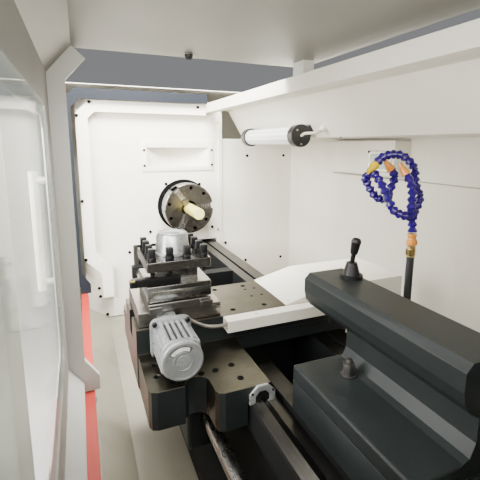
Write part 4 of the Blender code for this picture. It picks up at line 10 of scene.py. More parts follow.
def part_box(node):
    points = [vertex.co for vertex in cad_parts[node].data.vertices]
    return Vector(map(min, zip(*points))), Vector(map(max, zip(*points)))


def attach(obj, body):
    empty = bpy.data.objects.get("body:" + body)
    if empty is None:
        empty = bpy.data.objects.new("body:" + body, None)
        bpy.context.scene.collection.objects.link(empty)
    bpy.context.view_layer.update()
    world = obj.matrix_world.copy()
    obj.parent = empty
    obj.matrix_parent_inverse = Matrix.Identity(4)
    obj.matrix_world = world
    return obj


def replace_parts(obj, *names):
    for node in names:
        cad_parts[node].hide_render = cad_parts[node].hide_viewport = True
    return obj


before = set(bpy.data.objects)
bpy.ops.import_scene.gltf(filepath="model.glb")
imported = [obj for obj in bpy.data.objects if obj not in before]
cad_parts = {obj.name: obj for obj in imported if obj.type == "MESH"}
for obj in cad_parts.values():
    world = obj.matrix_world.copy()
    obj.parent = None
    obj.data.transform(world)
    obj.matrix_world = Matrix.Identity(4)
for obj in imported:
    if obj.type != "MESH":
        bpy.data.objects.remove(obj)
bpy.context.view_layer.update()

# Lengths below are millimetres from the spindle's axis at the headstock panel's face

MILLIMETRE = 0.001
CHUCK_LOW, CHUCK_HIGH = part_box("chuck_body")
ORIGIN = Vector((
    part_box("rear_bulkhead")[1][0],
    (CHUCK_LOW[1] + CHUCK_HIGH[1]) / 2,
    (CHUCK_LOW[2] + CHUCK_HIGH[2]) / 2,
))


def place(x, y, z):
    return ORIGIN + Vector((x, y, z)) * MILLIMETRE


# Camera and light

CAMERA_PLACE = (1993, -497, 316)
CAMERA_RIGHT = (0.3797, 0.9251, 0.0044)
CAMERA_BACK = (0.9107, -0.3745, 0.1743)
IMAGE_SIZE = 480
FOCAL_PIXELS = 389.5
AXIS_ROW = 213.5
SENSOR = 36.0
WORLD_STRENGTH = 0.24
LIGHT_COLOUR = (1.0, 0.98, 0.94)
FLOOR_SIZE, FLOOR_DROP = 14, 0.5
# Each light's place and target, its size in metres and its watts
LIGHTS = {
    "roof_opening": ((640, -190, 1150), (40, 40, 0), (0.6, 0.5), 120),
    "doorway": ((1000, -1500, 500), (40, 60, 0), (1.4, 1.2), 130),
    "inner_fill": ((1350, -525, 330), (1150, 300, -40), (0.7, 0.2), 6),
    "end_fill": ((1960, -330, 420), (300, 60, -20), (0.5, 0.4), 6),
    "front": ((900, -3000, 1800), (700, 0, -200), (3.0, 2.0), 80),
    "rear": ((900, 3200, 1600), (700, 0, -200), (3.0, 2.0), 80),
}


def add_camera():
    """The camera stands inside the guard at the tailstock's end and looks to the headstock."""
    data = bpy.data.cameras.new("camera")
    data.sensor_width = SENSOR
    data.lens = FOCAL_PIXELS / IMAGE_SIZE * SENSOR
    data.shift_y = (AXIS_ROW - IMAGE_SIZE / 2) / IMAGE_SIZE
    data.clip_start = 0.01
    camera = bpy.data.objects.new("camera", data)
    back = Vector(CAMERA_BACK).normalized()
    up = back.cross(Vector(CAMERA_RIGHT)).normalized()
    turn = Matrix((up.cross(back), up, back)).transposed()
    camera.matrix_world = Matrix.Translation(place(*CAMERA_PLACE)) @ turn.to_4x4()
    bpy.context.scene.collection.objects.link(camera)
    bpy.context.scene.camera = camera


def add_light(name, spot, target, size, power):
    data = bpy.data.lights.new(name, "AREA")
    data.shape = "RECTANGLE"
    data.size, data.size_y = size
    data.energy = power
    data.color = LIGHT_COLOUR
    light = bpy.data.objects.new(name, data)
    light.location = place(*spot)
    light.rotation_euler = (place(*target) - light.location).to_track_quat("-Z", "Y").to_euler()
    light.visible_camera = False
    bpy.context.scene.collection.objects.link(light)


def add_lights():
    world = bpy.data.worlds.new("studio")
    world.use_nodes = True
    background = world.node_tree.nodes["Background"]
    background.inputs["Color"].default_value = (0.95, 0.97, 1.0, 1.0)
    background.inputs["Strength"].default_value = WORLD_STRENGTH
    bpy.context.scene.world = world
    for name, values in LIGHTS.items():
        add_light(name, *values)


def add_floor():
    bpy.ops.object.select_all(action="DESELECT")
    bpy.ops.mesh.primitive_plane_add(size=FLOOR_SIZE, location=(0, 0, -FLOOR_DROP * MILLIMETRE))
    floor = bpy.context.object
    floor.name = "studio_floor"
    made = Finish("pale_floor", (0.84, 0.84, 0.83), 0.6)
    made.over(made.noise(0.8), (0.78, 0.78, 0.77))
    floor.data.materials.append(made.done())


# Node maths


class Field:
    """A value that varies over a surface. Sums and products add the nodes that work them out."""

    def __init__(self, finish, socket):
        self.finish = finish
        self.socket = socket

    def maths(self, operation, *others, first=None):
        values = [first, self] if first is not None else [self, *others]
        return self.finish.add("ShaderNodeMath", {"operation": operation}, dict(enumerate(values)))

    def __add__(self, other):
        return self.maths("ADD", other)

    def __sub__(self, other):
        return self.maths("SUBTRACT", other)

    def __rsub__(self, other):
        return self.maths("SUBTRACT", first=other)

    def __mul__(self, other):
        return self.maths("MULTIPLY", other)

    __radd__ = __add__
    __rmul__ = __mul__

    def above(self, level):
        return self.maths("GREATER_THAN", level)

    def below(self, level):
        return self.maths("LESS_THAN", level)

    def near(self, level, reach=0.7 * MILLIMETRE):
        return (self - level).maths("ABSOLUTE").below(reach)

    def either(self, other):
        return self.maths("MAXIMUM", other)

    def faded(self, low, high):
        """0 at low and 1 at high, straight between and held outside."""
        values = {"Value": self, "From Min": low, "From Max": high}
        return self.finish.add("ShaderNodeMapRange", {"clamp": True}, values)


class Finish:
    """One procedural material on object coordinates, built up in layers."""

    def __init__(self, name, colour, roughness=0.5, metallic=0.0):
        self.material = bpy.data.materials.new(name)
        self.material.use_nodes = True
        self.tree = self.material.node_tree
        self.shader = self.tree.nodes["Principled BSDF"]
        self.colour, self.roughness, self.metallic = colour, roughness, metallic
        coordinates = self.tree.nodes.new("ShaderNodeTexCoord")
        self.where = Field(self, coordinates.outputs["Object"])
        self.x, self.y, self.z = self.split(coordinates.outputs["Object"])
        self.facing = self.split(coordinates.outputs["Normal"])

    def split(self, socket):
        node = self.tree.nodes.new("ShaderNodeSeparateXYZ")
        self.tree.links.new(socket, node.inputs[0])
        return [Field(self, output) for output in node.outputs]

    def add(self, kind, settings, inputs, output=0):
        """A node of that kind with its settings made first, then its inputs set or linked."""
        node = self.tree.nodes.new(kind)
        for name, value in settings.items():
            setattr(node, name, value)
        for key, value in inputs.items():
            if isinstance(value, Field):
                self.tree.links.new(value.socket, node.inputs[key])
            else:
                node.inputs[key].default_value = value
        return Field(self, node.outputs[output])

    def noise(self, scale, detail=3.0, stretch=(1, 1, 1), roughness=0.5):
        where = self.where
        if stretch != (1, 1, 1):
            where = self.add("ShaderNodeMapping", {}, {"Vector": where, "Scale": stretch})
        inputs = {"Vector": where, "Scale": scale, "Detail": detail, "Roughness": roughness}
        return self.add("ShaderNodeTexNoise", {}, inputs)

    def mix(self, share, first, second):
        first, second = (c if isinstance(c, Field) else (*c, 1.0) for c in (first, second))
        return self.add("ShaderNodeMix", {"data_type": "RGBA"}, {0: share, 6: first, 7: second}, 2)

    def reach(self, first, second, at):
        """Distance from an axis, by the two coordinates across it."""
        da, db = first - at[0], second - at[1]
        return (da * da + db * db).maths("SQRT")

    def over(self, share, colour=None, roughness=None, metallic=None):
        """Another finish laid over this one, fully where share is 1."""
        if colour is not None:
            self.colour = self.mix(share, self.colour, colour)
        if roughness is not None:
            self.roughness = self.roughness + share * (roughness - self.roughness)
        if metallic is not None:
            self.metallic = self.metallic + share * (metallic - self.metallic)
        return self

    def relief(self, height, depth, strength=0.4):
        inputs = {"Height": height, "Distance": depth, "Strength": strength}
        self.give("Normal", self.add("ShaderNodeBump", {}, inputs))
        return self

    def give(self, socket, value):
        if isinstance(value, Field):
            self.tree.links.new(value.socket, self.shader.inputs[socket])
        elif isinstance(value, tuple):
            self.shader.inputs[socket].default_value = (*value, 1.0)
        else:
            self.shader.inputs[socket].default_value = value

    def dulled(self, strength):
        """Weakens the mirror layer of a dark coat, so that it stays dark against white walls."""
        self.give("Specular IOR Level", strength)
        return self

    def done(self):
        self.give("Base Color", self.colour)
        self.give("Roughness", self.roughness)
        self.give("Metallic", self.metallic)
        return self.material


# Finishes

WHITE = (0.800, 0.767, 0.669)
SHADE = tuple(c * 0.93 for c in WHITE)
SLATE = (0.011, 0.0145, 0.0150)
STEEL = (0.36, 0.325, 0.285)
SADDLE_TOP = -106
WING_TOP = -167
POST_TOP = 50
POST_PLATE_LOW = 26
POST_CENTRE = (1055, -293.5)
POST_HALF = 76
CORE_HALF = 50
CHUCK_RADIUS, CHUCK_SIDE_END = 125, 122
BAR_SAWN_X = 292
SCREEN_EDGES = (39, 271, 39, 211, 6)
PIPE_TOP = 89
LAMP_ENDS = (236, 719)
LAMP_CAP = 34
MOTOR_CENTRE = (-329.5, -109.5)
MOTOR_END = 1293
BUMPER = (897, -200)
BUMPER_LOW, BUMPER_HIGH, BUMPER_RADIUS = 535, 558.6, 13.5
# Heights where the painted shade on the door's inside starts and where it is full
DOOR_SHADE_START_Z, DOOR_SHADE_FULL_Z = -320, 420
WAY_EDGES_Y = (-91, 72)
WAYS_LOW_Z = -222


def level(height):
    return ORIGIN.z + height * MILLIMETRE


def coated_sheet(name, colour=WHITE, soil=0.12):
    """Powder-coated sheet: fine orange peel, faint soiling and uneven gloss."""
    made = Finish(name, colour, 0.42)
    cloud = made.noise(2.2, 4.0)
    smear = made.noise(9.0, 5.0, (1, 1, 0.35)).faded(0.52, 0.78)
    made.over(cloud.faded(0.3, 0.7), tuple(c * 0.94 for c in colour), 0.5)
    made.over(smear * soil, tuple(c * 0.55 for c in colour))
    return made.relief(made.noise(420.0, 1.0) + made.noise(30.0, 2.0) * 0.8, 0.0004, 0.25)


def painted_casting(name, colour=SLATE, roughness=0.42, depth=0.0009):
    """Thick paint over a casting: soft lumps, fine grain and rubbed paler patches."""
    made = Finish(name, colour, roughness)
    grain = made.noise(160.0, 2.0)
    rubbed = made.noise(6.0, 5.0, roughness=0.65).faded(0.5, 0.75)
    made.over(rubbed * 0.45, tuple(c * 1.8 + 0.002 for c in colour), roughness + 0.12)
    return made.relief(made.noise(28.0, 3.0) + grain * 0.35, depth, 0.4)


def scratched_steel(name, colour=STEEL, along=(4, 220, 60), roughness=0.3):
    """Ground steel: fine scratches along one axis, oil stains and a warm cast."""
    made = Finish(name, colour, roughness, 1.0)
    scratch = made.noise(5.0, 6.0, along, 0.7)
    stain = made.noise(14.0, 4.0, roughness=0.6).faded(0.45, 0.75)
    made.over(scratch.faded(0.35, 0.65), tuple(c * 0.86 for c in colour), roughness + 0.06)
    made.over(stain * 0.3, tuple(c * 0.62 for c in colour), roughness + 0.14)
    return made.relief(scratch, 0.00003, 0.3)


def plain(name, colour, roughness=0.35, metallic=0.0, depth=0.0001):
    """Moulded, turned or drawn piece with a soft cloud in its tone and gloss."""
    made = Finish(name, colour, roughness, metallic)
    made.over(made.noise(45.0, 4.0).faded(0.35, 0.7), tuple(c * 0.74 for c in colour), roughness + 0.12)
    return made.relief(made.noise(260.0, 2.0), depth, 0.35)


def saddle_finish():
    """Painted casting with ground top faces and a ground front that mirrors the sill."""
    made = painted_casting("saddle", SLATE, 0.4)
    top = made.z.near(level(SADDLE_TOP)).either(made.z.near(level(WING_TOP)))
    bare = top.either(made.facing[1].below(-0.9))
    scratch = made.noise(5.0, 6.0, (90, 4, 90), 0.7).faded(0.35, 0.65)
    stain = made.noise(11.0, 5.0, roughness=0.65).faded(0.4, 0.72)
    steel = made.mix(scratch, (0.155, 0.145, 0.112), (0.11, 0.102, 0.078))
    steel = made.mix(stain * 0.6, steel, (0.075, 0.07, 0.055))
    return made.over(bare, steel, 0.34, 1.0)


def bed_finish():
    """Ground ways over dark painted walls."""
    made = painted_casting("bed", (0.005, 0.0058, 0.0062), 0.6)
    front, rear = (place(0, y, 0).y for y in WAY_EDGES_Y)
    ways = made.z.above(level(WAYS_LOW_Z)) * made.facing[2].above(0.3)
    ways = ways * made.y.below(front).either(made.y.above(rear))
    scratch = made.noise(5.0, 6.0, (3, 160, 40), 0.7).faded(0.35, 0.65)
    made.over(ways, made.mix(scratch, (0.085, 0.08, 0.072), (0.05, 0.047, 0.042)), 0.28, 1.0)
    return made.dulled(0.2)


def post_finish():
    """Four-way post: ground block with blackened screws above and between its plates."""
    made = scratched_steel("post", (0.29, 0.28, 0.265), (60, 3, 130), 0.22)
    above = made.z.above(level(POST_TOP + 0.4))
    aside = [
        (axis - place(*POST_CENTRE, 0)[i]).maths("ABSOLUTE").above((CORE_HALF + 1) * MILLIMETRE)
        for i, axis in enumerate((made.x, made.y))
    ]
    between = made.z.below(level(POST_PLATE_LOW - 0.5)) * made.z.above(level(0)) * aside[0].either(aside[1])
    return made.over(above.either(between), (0.02, 0.02, 0.02), 0.33, 0.7)


def chuck_finish():
    """Turned steel: rings and smears on the face, and the slots behind it darkened as painted shade."""
    made = Finish("chuck", (0.22, 0.21, 0.195), 0.22, 1.0)
    reach = made.reach(made.y, made.z, (ORIGIN.y, ORIGIN.z))
    rings = (reach * 1900.0).maths("SINE") * 0.5 + 0.5
    smear = made.noise(22.0, 4.0).faded(0.38, 0.72)
    made.over(rings * 0.35, (0.15, 0.14, 0.13))
    made.over(smear * 0.55, (0.16, 0.14, 0.125), 0.42)
    # Painted shade: the slots and bore behind the face, inside the chuck's rim, are made near black.
    side = reach.below((CHUCK_RADIUS - 0.8) * MILLIMETRE) * made.x.below(place(CHUCK_SIDE_END, 0, 0).x)
    made.over(side, (0.006, 0.006, 0.006), 0.6)
    return made.relief(rings, 0.00008, 0.5)


def lamp_finish():
    """Clear tube over bright strips, with black caps."""
    made = Finish("lamp", (0.80, 0.82, 0.83), 0.12)
    strips = ((made.z * 340.0).maths("SINE") * 0.5 + 0.5).faded(0.3, 0.7)
    joints = (made.x * 130.0).maths("SINE").above(0.985)
    made.over(strips * 0.5, (0.50, 0.52, 0.53))
    made.over(joints * 0.3, (0.3, 0.3, 0.3))
    low, high = (place(x, 0, 0).x for x in LAMP_ENDS)
    caps = made.x.below(low + LAMP_CAP * MILLIMETRE).either(made.x.above(high - LAMP_CAP * MILLIMETRE))
    return made.over(caps, (0.012, 0.012, 0.013), 0.32)


def pipe_finish():
    """Black hose pipe under a brass union."""
    made = plain("pipe", (0.014, 0.014, 0.015), 0.4)
    return made.over(made.z.above(level(PIPE_TOP - 1.5)), (0.62, 0.46, 0.20), 0.24, 1.0)


def door_finish():
    """Coated sheet in a grey dimmed from the covers' white as painted shade, darker inside toward the roof as
    painted shade, with the rubber bumper below it.
    """
    # The door's grey is the covers' white dimmed as painted shade.
    made = coated_sheet("door_sheet", (0.62, 0.61, 0.56))
    # Painted shade: the inside faces darken toward the roof.
    inside = made.facing[1].above(0.2).either(made.facing[2].below(-0.2))
    high = made.z.faded(level(DOOR_SHADE_START_Z), level(DOOR_SHADE_FULL_Z))
    made.over(inside * high, (0.15, 0.147, 0.125))
    bump = place(*BUMPER, 0)
    near = made.reach(made.x, made.y, (bump.x, bump.y)).below(BUMPER_RADIUS * MILLIMETRE)
    deep = made.z.below(level(BUMPER_HIGH)) * made.z.above(level(BUMPER_LOW))
    return made.over(near * deep, (0.012, 0.012, 0.012), 0.6)


def bar_finish():
    """Pale yellow bar with drawn streaks and a lighter sawn end."""
    made = Finish("drawn_bar", (0.60, 0.50, 0.10), 0.35)
    streak = made.noise(6.0, 4.0, (3, 120, 120))
    made.over(streak, (0.50, 0.42, 0.11), 0.5)
    made.over(made.x.above(place(BAR_SAWN_X, 0, 0).x), (0.72, 0.66, 0.26), 0.6)
    return made.relief(streak, 0.0001)


def screen_finish():
    """Panel front: coated sheet round a dark glass."""
    made = coated_sheet("control", WHITE)
    low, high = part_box("control_box")
    left, right, drop, foot, sink = (size * MILLIMETRE for size in SCREEN_EDGES)
    across = made.x.above(low[0] + left) * made.x.below(low[0] + right)
    up = made.z.below(high[2] - drop) * made.z.above(high[2] - foot)
    glass = across * up * made.y.below(low[1] + sink) * made.facing[1].below(-0.5)
    return made.over(glass, (0.012, 0.018, 0.024), 0.08)


def clear(made, alpha):
    made.give("Alpha", made.noise(8.0) * 0.08 + alpha)
    return made


FINISHES = {
    "white": lambda: coated_sheet("warm_white"),
    "shade": lambda: coated_sheet("shaded_white", SHADE, 0.2),
    "door": door_finish,
    "blue_grey": lambda: coated_sheet("frame_blue_grey", (0.016, 0.021, 0.034), 0.0),
    "navy": lambda: plain("frame_navy", (0.013, 0.016, 0.022), 0.45).dulled(0.2),
    "red": lambda: coated_sheet("sill_red", (0.34, 0.022, 0.012), 0.2),
    "tray": lambda: coated_sheet("tray_beige", (0.25, 0.235, 0.18), 0.5),
    "slate": lambda: painted_casting("slate"),
    "grey": lambda: painted_casting("stand_grey", (0.30, 0.31, 0.32), 0.5),
    "bright": lambda: plain("bright", (0.60, 0.58, 0.55), 0.22, 1.0),
    "zinc": lambda: plain("zinc", (0.66, 0.66, 0.64), 0.3, 0.9),
    "black": lambda: plain("black_oxide", (0.018, 0.018, 0.019), 0.36, 0.6),
    "alloy": lambda: plain("alloy", (0.52, 0.54, 0.55), 0.27, 0.6, 0.00001),
    "rubber": lambda: plain("rubber", (0.014, 0.014, 0.015), 0.6),
    "slide": lambda: scratched_steel("slide_steel", (0.32, 0.305, 0.285), (160, 4, 60), 0.26),
    "screw": lambda: plain("screw_steel", (0.004, 0.004, 0.0045), 0.55).dulled(0.1),
    "braid": lambda: plain("braid_steel", (0.40, 0.37, 0.32), 0.34, 0.7),
    "key": lambda: plain("key_grey", (0.20, 0.21, 0.23), 0.4),
    "nut": lambda: plain("nut_steel", (0.13, 0.125, 0.12), 0.38, 0.9),
    "seam": lambda: plain("seam_shadow", (0.27, 0.25, 0.21), 0.8),
    "groove": lambda: plain("groove_shadow", (0.035, 0.036, 0.037), 0.5),
    "brass": lambda: plain("brass", (0.62, 0.46, 0.20), 0.25, 1.0),
    "jaw": lambda: plain("jaw_steel", (0.22, 0.21, 0.20), 0.28, 1.0),
    "cable": lambda: plain("cable_beige", (0.60, 0.56, 0.44), 0.42),
    "blue": lambda: plain("hose_blue", (0.020, 0.004, 0.15), 0.2),
    "orange": lambda: plain("nozzle_orange", (0.72, 0.27, 0.035), 0.3),
    "yellow": lambda: plain("nozzle_yellow", (0.74, 0.50, 0.004), 0.3),
    "stop_red": lambda: plain("button_red", (0.62, 0.02, 0.015), 0.25),
    "start_green": lambda: plain("button_green", (0.02, 0.36, 0.08), 0.25),
    "label": lambda: plain("label_white", (0.82, 0.82, 0.80), 0.4),
    "window": lambda: clear(Finish("window", (0.62, 0.70, 0.68), 0.05), 0.3),
    "box_glass": lambda: clear(Finish("box_glass", (0.45, 0.56, 0.53), 0.06), 0.75),
    "saddle": saddle_finish,
    "bed": bed_finish,
    "post": post_finish,
    "post_block": lambda: plain("post_block", (0.48, 0.47, 0.45), 0.2, 1.0, 0.00001),
    "chuck": chuck_finish,
    "lamp": lamp_finish,
    "pipe": pipe_finish,
    "bar": bar_finish,
    "control": screen_finish,
}
MADE = {}


def finish(name):
    if name not in MADE:
        MADE[name] = FINISHES[name]().done()
    return MADE[name]


NODE_FINISHES = {
    "white": "left_cover right_cover hood rail_beam headstock_panel rear_bulkhead frame_strip saddle_cover "
    "cable_duct",
    "shade": "rear_wall",
    "door": "sliding_door",
    "blue_grey": "base_skirt",
    "red": "door_sill",
    "tray": "chip_tray",
    "slate": "tailstock_base tailstock_casting apron",
    "saddle": "saddle",
    "bed": "bed",
    "grey": "left_pedestal right_pedestal headstock_housing main_motor",
    "bright": "spindle front_bearing rear_bearing feed_screw cross_screw quill clamp_nut",
    "zinc": "way_wiper motor_conduits",
    "black": "turning_tool feed_motor cross_motor handwheel clamp_lever feed_dial",
    "alloy": "turret_cap turret_motor spindle_pulley motor_pulley",
    "slide": "cross_slide turret_base",
    "post": "turret_head",
    "navy": "door_frame",
    "rubber": "drive_belt",
    "pipe": "coolant_pipe",
    "chuck": "chuck_body",
    "jaw": "chuck_jaw_1 chuck_jaw_2 chuck_jaw_3",
    "bar": "bar_stock",
    "window": "door_window",
    "lamp": "work_lamp",
    "cable": "lamp_cable",
    "blue": "coolant_hose",
    "stop_red": "stop_button",
    "start_green": "start_button",
    "control": "control_box",
}


def coat_nodes():
    for name, nodes in NODE_FINISHES.items():
        for node in nodes.split():
            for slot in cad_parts[node].material_slots:
                slot.material = finish(name)


SOFTENED = {
    "tailstock_casting": 3.0, "saddle": 1.5, "cross_slide": 0.8, "turret_base": 0.8,
    "turret_head": 0.8, "hood": 2.0, "rail_beam": 1.5, "saddle_cover": 1.5, "cable_duct": 0.8,
}


def soften_castings():
    """Bevels the long edges of the CAD castings and sheets, so that they catch the light."""
    for node, width in SOFTENED.items():
        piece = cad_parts[node]
        weld = piece.modifiers.new("weld", "WELD")
        weld.merge_threshold = 0.02 * MILLIMETRE
        bevel = piece.modifiers.new("edges", "BEVEL")
        bevel.width = width * MILLIMETRE
        bevel.segments = 2
        bevel.limit_method = "ANGLE"
        bevel.angle_limit = math.radians(40)
        bevel.harden_normals = True

# Modelling helpers

X, Y, Z = 0, 1, 2
SQUARELY = 0.9


def only(piece):
    """Leaves edit mode and selects this piece alone."""
    if bpy.context.mode != "OBJECT":
        leave()
    bpy.ops.object.select_all(action="DESELECT")
    piece.select_set(True)
    bpy.context.view_layer.objects.active = piece


def leave():
    bpy.ops.object.mode_set(mode="OBJECT")


def facing(axis, side=1):
    """A test for the faces that look along an axis, or back along it."""
    return lambda middle, normal: normal[axis] * side > SQUARELY


def whole(middle, normal):
    """The test that every face passes."""
    return True


def picked(piece, test):
    """Goes into edit mode with the faces selected whose middle and normal pass the test."""
    only(piece)
    bpy.ops.object.mode_set(mode="EDIT")
    bpy.ops.mesh.select_mode(type="FACE")
    mesh = bmesh.from_edit_mesh(piece.data)
    for face in mesh.faces:
        face.select_set(test(face.calc_center_median(), face.normal))
    bmesh.update_edit_mesh(piece.data)


def pushed(x, y, z):
    """Extrudes what is selected."""
    step = (x * MILLIMETRE, y * MILLIMETRE, z * MILLIMETRE)
    bpy.ops.mesh.extrude_region_move(TRANSFORM_OT_translate={"value": step})


def inset(width, depth=0.0):
    bpy.ops.mesh.inset(thickness=width * MILLIMETRE, depth=depth * MILLIMETRE)


def widened(across, up=None):
    """Scales what is selected, across and up, or round the vertical only."""
    bpy.ops.transform.resize(value=(across, across, 1) if up is None else (across, 1, up))


def drawn_up(piece, steps):
    """Draws the top out in steps, each with its rise and the share of width that it keeps."""
    picked(piece, facing(Z))
    for rise, share in steps:
        pushed(0, 0, rise)
        widened(share)


def smoothed(angle):
    bpy.ops.object.shade_smooth_by_angle(angle=math.radians(angle))


def applied(piece):
    only(piece)
    bpy.ops.object.transform_apply(location=True, rotation=True, scale=True)
    return piece


def rounded(piece, width, segments=2):
    """Bevels the sharp edges and applies it, then shades smooth by angle."""
    only(piece)
    bevel = piece.modifiers.new("bevel", "BEVEL")
    bevel.width = width * MILLIMETRE
    bevel.segments = segments
    bevel.limit_method = "ANGLE"
    bpy.ops.object.modifier_apply(modifier=bevel.name)
    smoothed(35)
    return piece


def round_edges(piece, along, width, segments=4):
    """Rounds the edges that run along one axis."""
    only(piece)
    bpy.ops.object.mode_set(mode="EDIT")
    bpy.ops.mesh.select_mode(type="EDGE")
    mesh = bmesh.from_edit_mesh(piece.data)
    for edge in mesh.edges:
        run = (edge.verts[0].co - edge.verts[1].co).normalized()
        edge.select_set(abs(run[along]) > 0.99)
    bmesh.update_edit_mesh(piece.data)
    bpy.ops.mesh.bevel(offset=width * MILLIMETRE, segments=segments)
    leave()
    return piece


def settled(piece, name, body, material):
    """Puts the piece's place into its mesh, gives it its finish and hangs it on its body."""
    applied(piece)
    piece.name = piece.data.name = name
    piece.data.materials.clear()
    piece.data.materials.append(finish(material))
    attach(piece, body)
    return piece


def cylinder(radius, depth, sides=32):
    """A disc or rod standing on the origin along +Z."""
    bpy.ops.object.select_all(action="DESELECT")
    bpy.ops.mesh.primitive_cylinder_add(
        vertices=sides, radius=radius * MILLIMETRE, depth=depth * MILLIMETRE,
        location=(0, 0, depth / 2 * MILLIMETRE),
    )
    return applied(bpy.context.object)


def box_between(low, high):
    """A block between two corners."""
    low, high = place(*low), place(*high)
    bpy.ops.object.select_all(action="DESELECT")
    bpy.ops.mesh.primitive_cube_add(size=1, location=(low + high) / 2)
    piece = bpy.context.object
    piece.scale = high - low
    return applied(piece)


def aimed(at, heading):
    """The turn and place that point a +Z master along a heading."""
    return Matrix.Translation(at) @ Vector(heading).to_track_quat("Z", "Y").to_matrix().to_4x4()


def stood(spot, heading):
    return aimed(place(*spot), heading)


def joined(pieces):
    bpy.ops.object.select_all(action="DESELECT")
    for piece in pieces:
        piece.select_set(True)
    bpy.context.view_layer.objects.active = pieces[0]
    if len(pieces) > 1:
        bpy.ops.object.join()
    return pieces[0]


def repeated(master, matrices, name, body, material):
    """Copies of a master, each with its own mesh, joined as one piece. The master goes."""
    copies = []
    for matrix in matrices:
        copy = master.copy()
        copy.data = master.data.copy()
        copy.data.transform(matrix)
        bpy.context.scene.collection.objects.link(copy)
        copies.append(copy)
    bpy.data.objects.remove(master)
    return settled(joined(copies), name, body, material)


def smooth_points(corners, step):
    """Points at even steps along a smooth line through the corners, with their headings."""
    ends = [2 * corners[0] - corners[1], *corners, 2 * corners[-1] - corners[-2]]
    fine = []
    for a, b, c, d in zip(ends, ends[1:], ends[2:], ends[3:]):
        for i in range(24):
            t = i / 24
            fine.append(
                0.5 * (2 * b + (c - a) * t + (2 * a - 5 * b + 4 * c - d) * t**2
                       + (3 * b - a - 3 * c + d) * t**3)
            )
    fine.append(corners[-1])
    points, walked = [], step
    for a, b in zip(fine, fine[1:]):
        walked += (b - a).length
        if walked >= step:
            points.append((a, (b - a).normalized()))
            walked -= step
    return points


# Screws and the guard's small pieces

SCREW_SIDES = 24
SCREW_RIM_SHARE, SCREW_DISH_SHARE = 0.22, 0.25
SOCKET_RIM_SHARE, SOCKET_DEPTH_SHARE = 0.28, 0.8
HEAD_RADIUS, HEAD_HEIGHT = 7.6, 3.6
POCKET_HEAD_HEIGHT = 3
PANEL_FACE, STRIP_FACE = 0.2, 34.2
PANEL_SCREWS = (
    (-286, -228), (-291, -454), (-409, -543), (-323, -542), (-178, -129), (199, 429), (195, -146),
)
OPENING_SCREWS = ((-90, 115), (88, 109), (158, -128))
POCKET_SCREWS = ((-195, 287), (157, 287), (-195, 210), (157, 210))
BULKHEAD_SCREWS = ((363, 256), (589, 256), (358, -339), (585, -343), (235, -225))
STRIP_SCREWS = (
    (-438, 505), (75, 500), (-494, 443), (-494, 50), (-494, -236), (-442, -387), (-439, -430),
)
POCKET_FRONT_Y, POCKET_REAR_Y = -207, 166
POCKET_LOW_Z, POCKET_HIGH_Z = 180, 336
POCKET_FACE = 4.2
POCKET_RIM, POCKET_SINK = 24, 3.8
POCKET_ROUND = 0.8


def socket_screw(radius, height):
    """Button head with a dished top and a socket."""
    piece = cylinder(radius, height, SCREW_SIDES)
    picked(piece, facing(Z))
    inset(radius * SCREW_RIM_SHARE, height * SCREW_DISH_SHARE)
    inset(radius * SOCKET_RIM_SHARE)
    pushed(0, 0, -height * SOCKET_DEPTH_SHARE)
    leave()
    smoothed(35)
    return piece


def guard_screws():
    """Black socket screws that hold the sheets of the guard and the pull recess's frame."""
    sheets = ((PANEL_FACE, PANEL_SCREWS + OPENING_SCREWS + BULKHEAD_SCREWS), (STRIP_FACE, STRIP_SCREWS))
    spots = [stood((x, y, z), (1, 0, 0)) for x, places in sheets for y, z in places]
    repeated(socket_screw(HEAD_RADIUS, HEAD_HEIGHT), spots, "guard_screws", "frame", "screw")
    pocket = [stood((POCKET_FACE + 0.1, y, z), (1, 0, 0)) for y, z in POCKET_SCREWS]
    screw = socket_screw(HEAD_RADIUS * 0.8, POCKET_HEAD_HEIGHT)
    repeated(screw, pocket, "pocket_screws", "frame", "screw")


def pocket_frame():
    """Flat frame round the pull recess."""
    low = (PANEL_FACE, POCKET_FRONT_Y, POCKET_LOW_Z)
    plate = box_between(low, (POCKET_FACE, POCKET_REAR_Y, POCKET_HIGH_Z))
    picked(plate, facing(X))
    inset(POCKET_RIM)
    pushed(-POCKET_SINK, 0, 0)
    bpy.ops.mesh.delete(type="FACE")
    picked(plate, facing(X, -1))
    bpy.ops.mesh.delete(type="FACE")
    leave()
    settled(rounded(plate, POCKET_ROUND), "pocket_frame", "frame", "white")


# Coolant hose

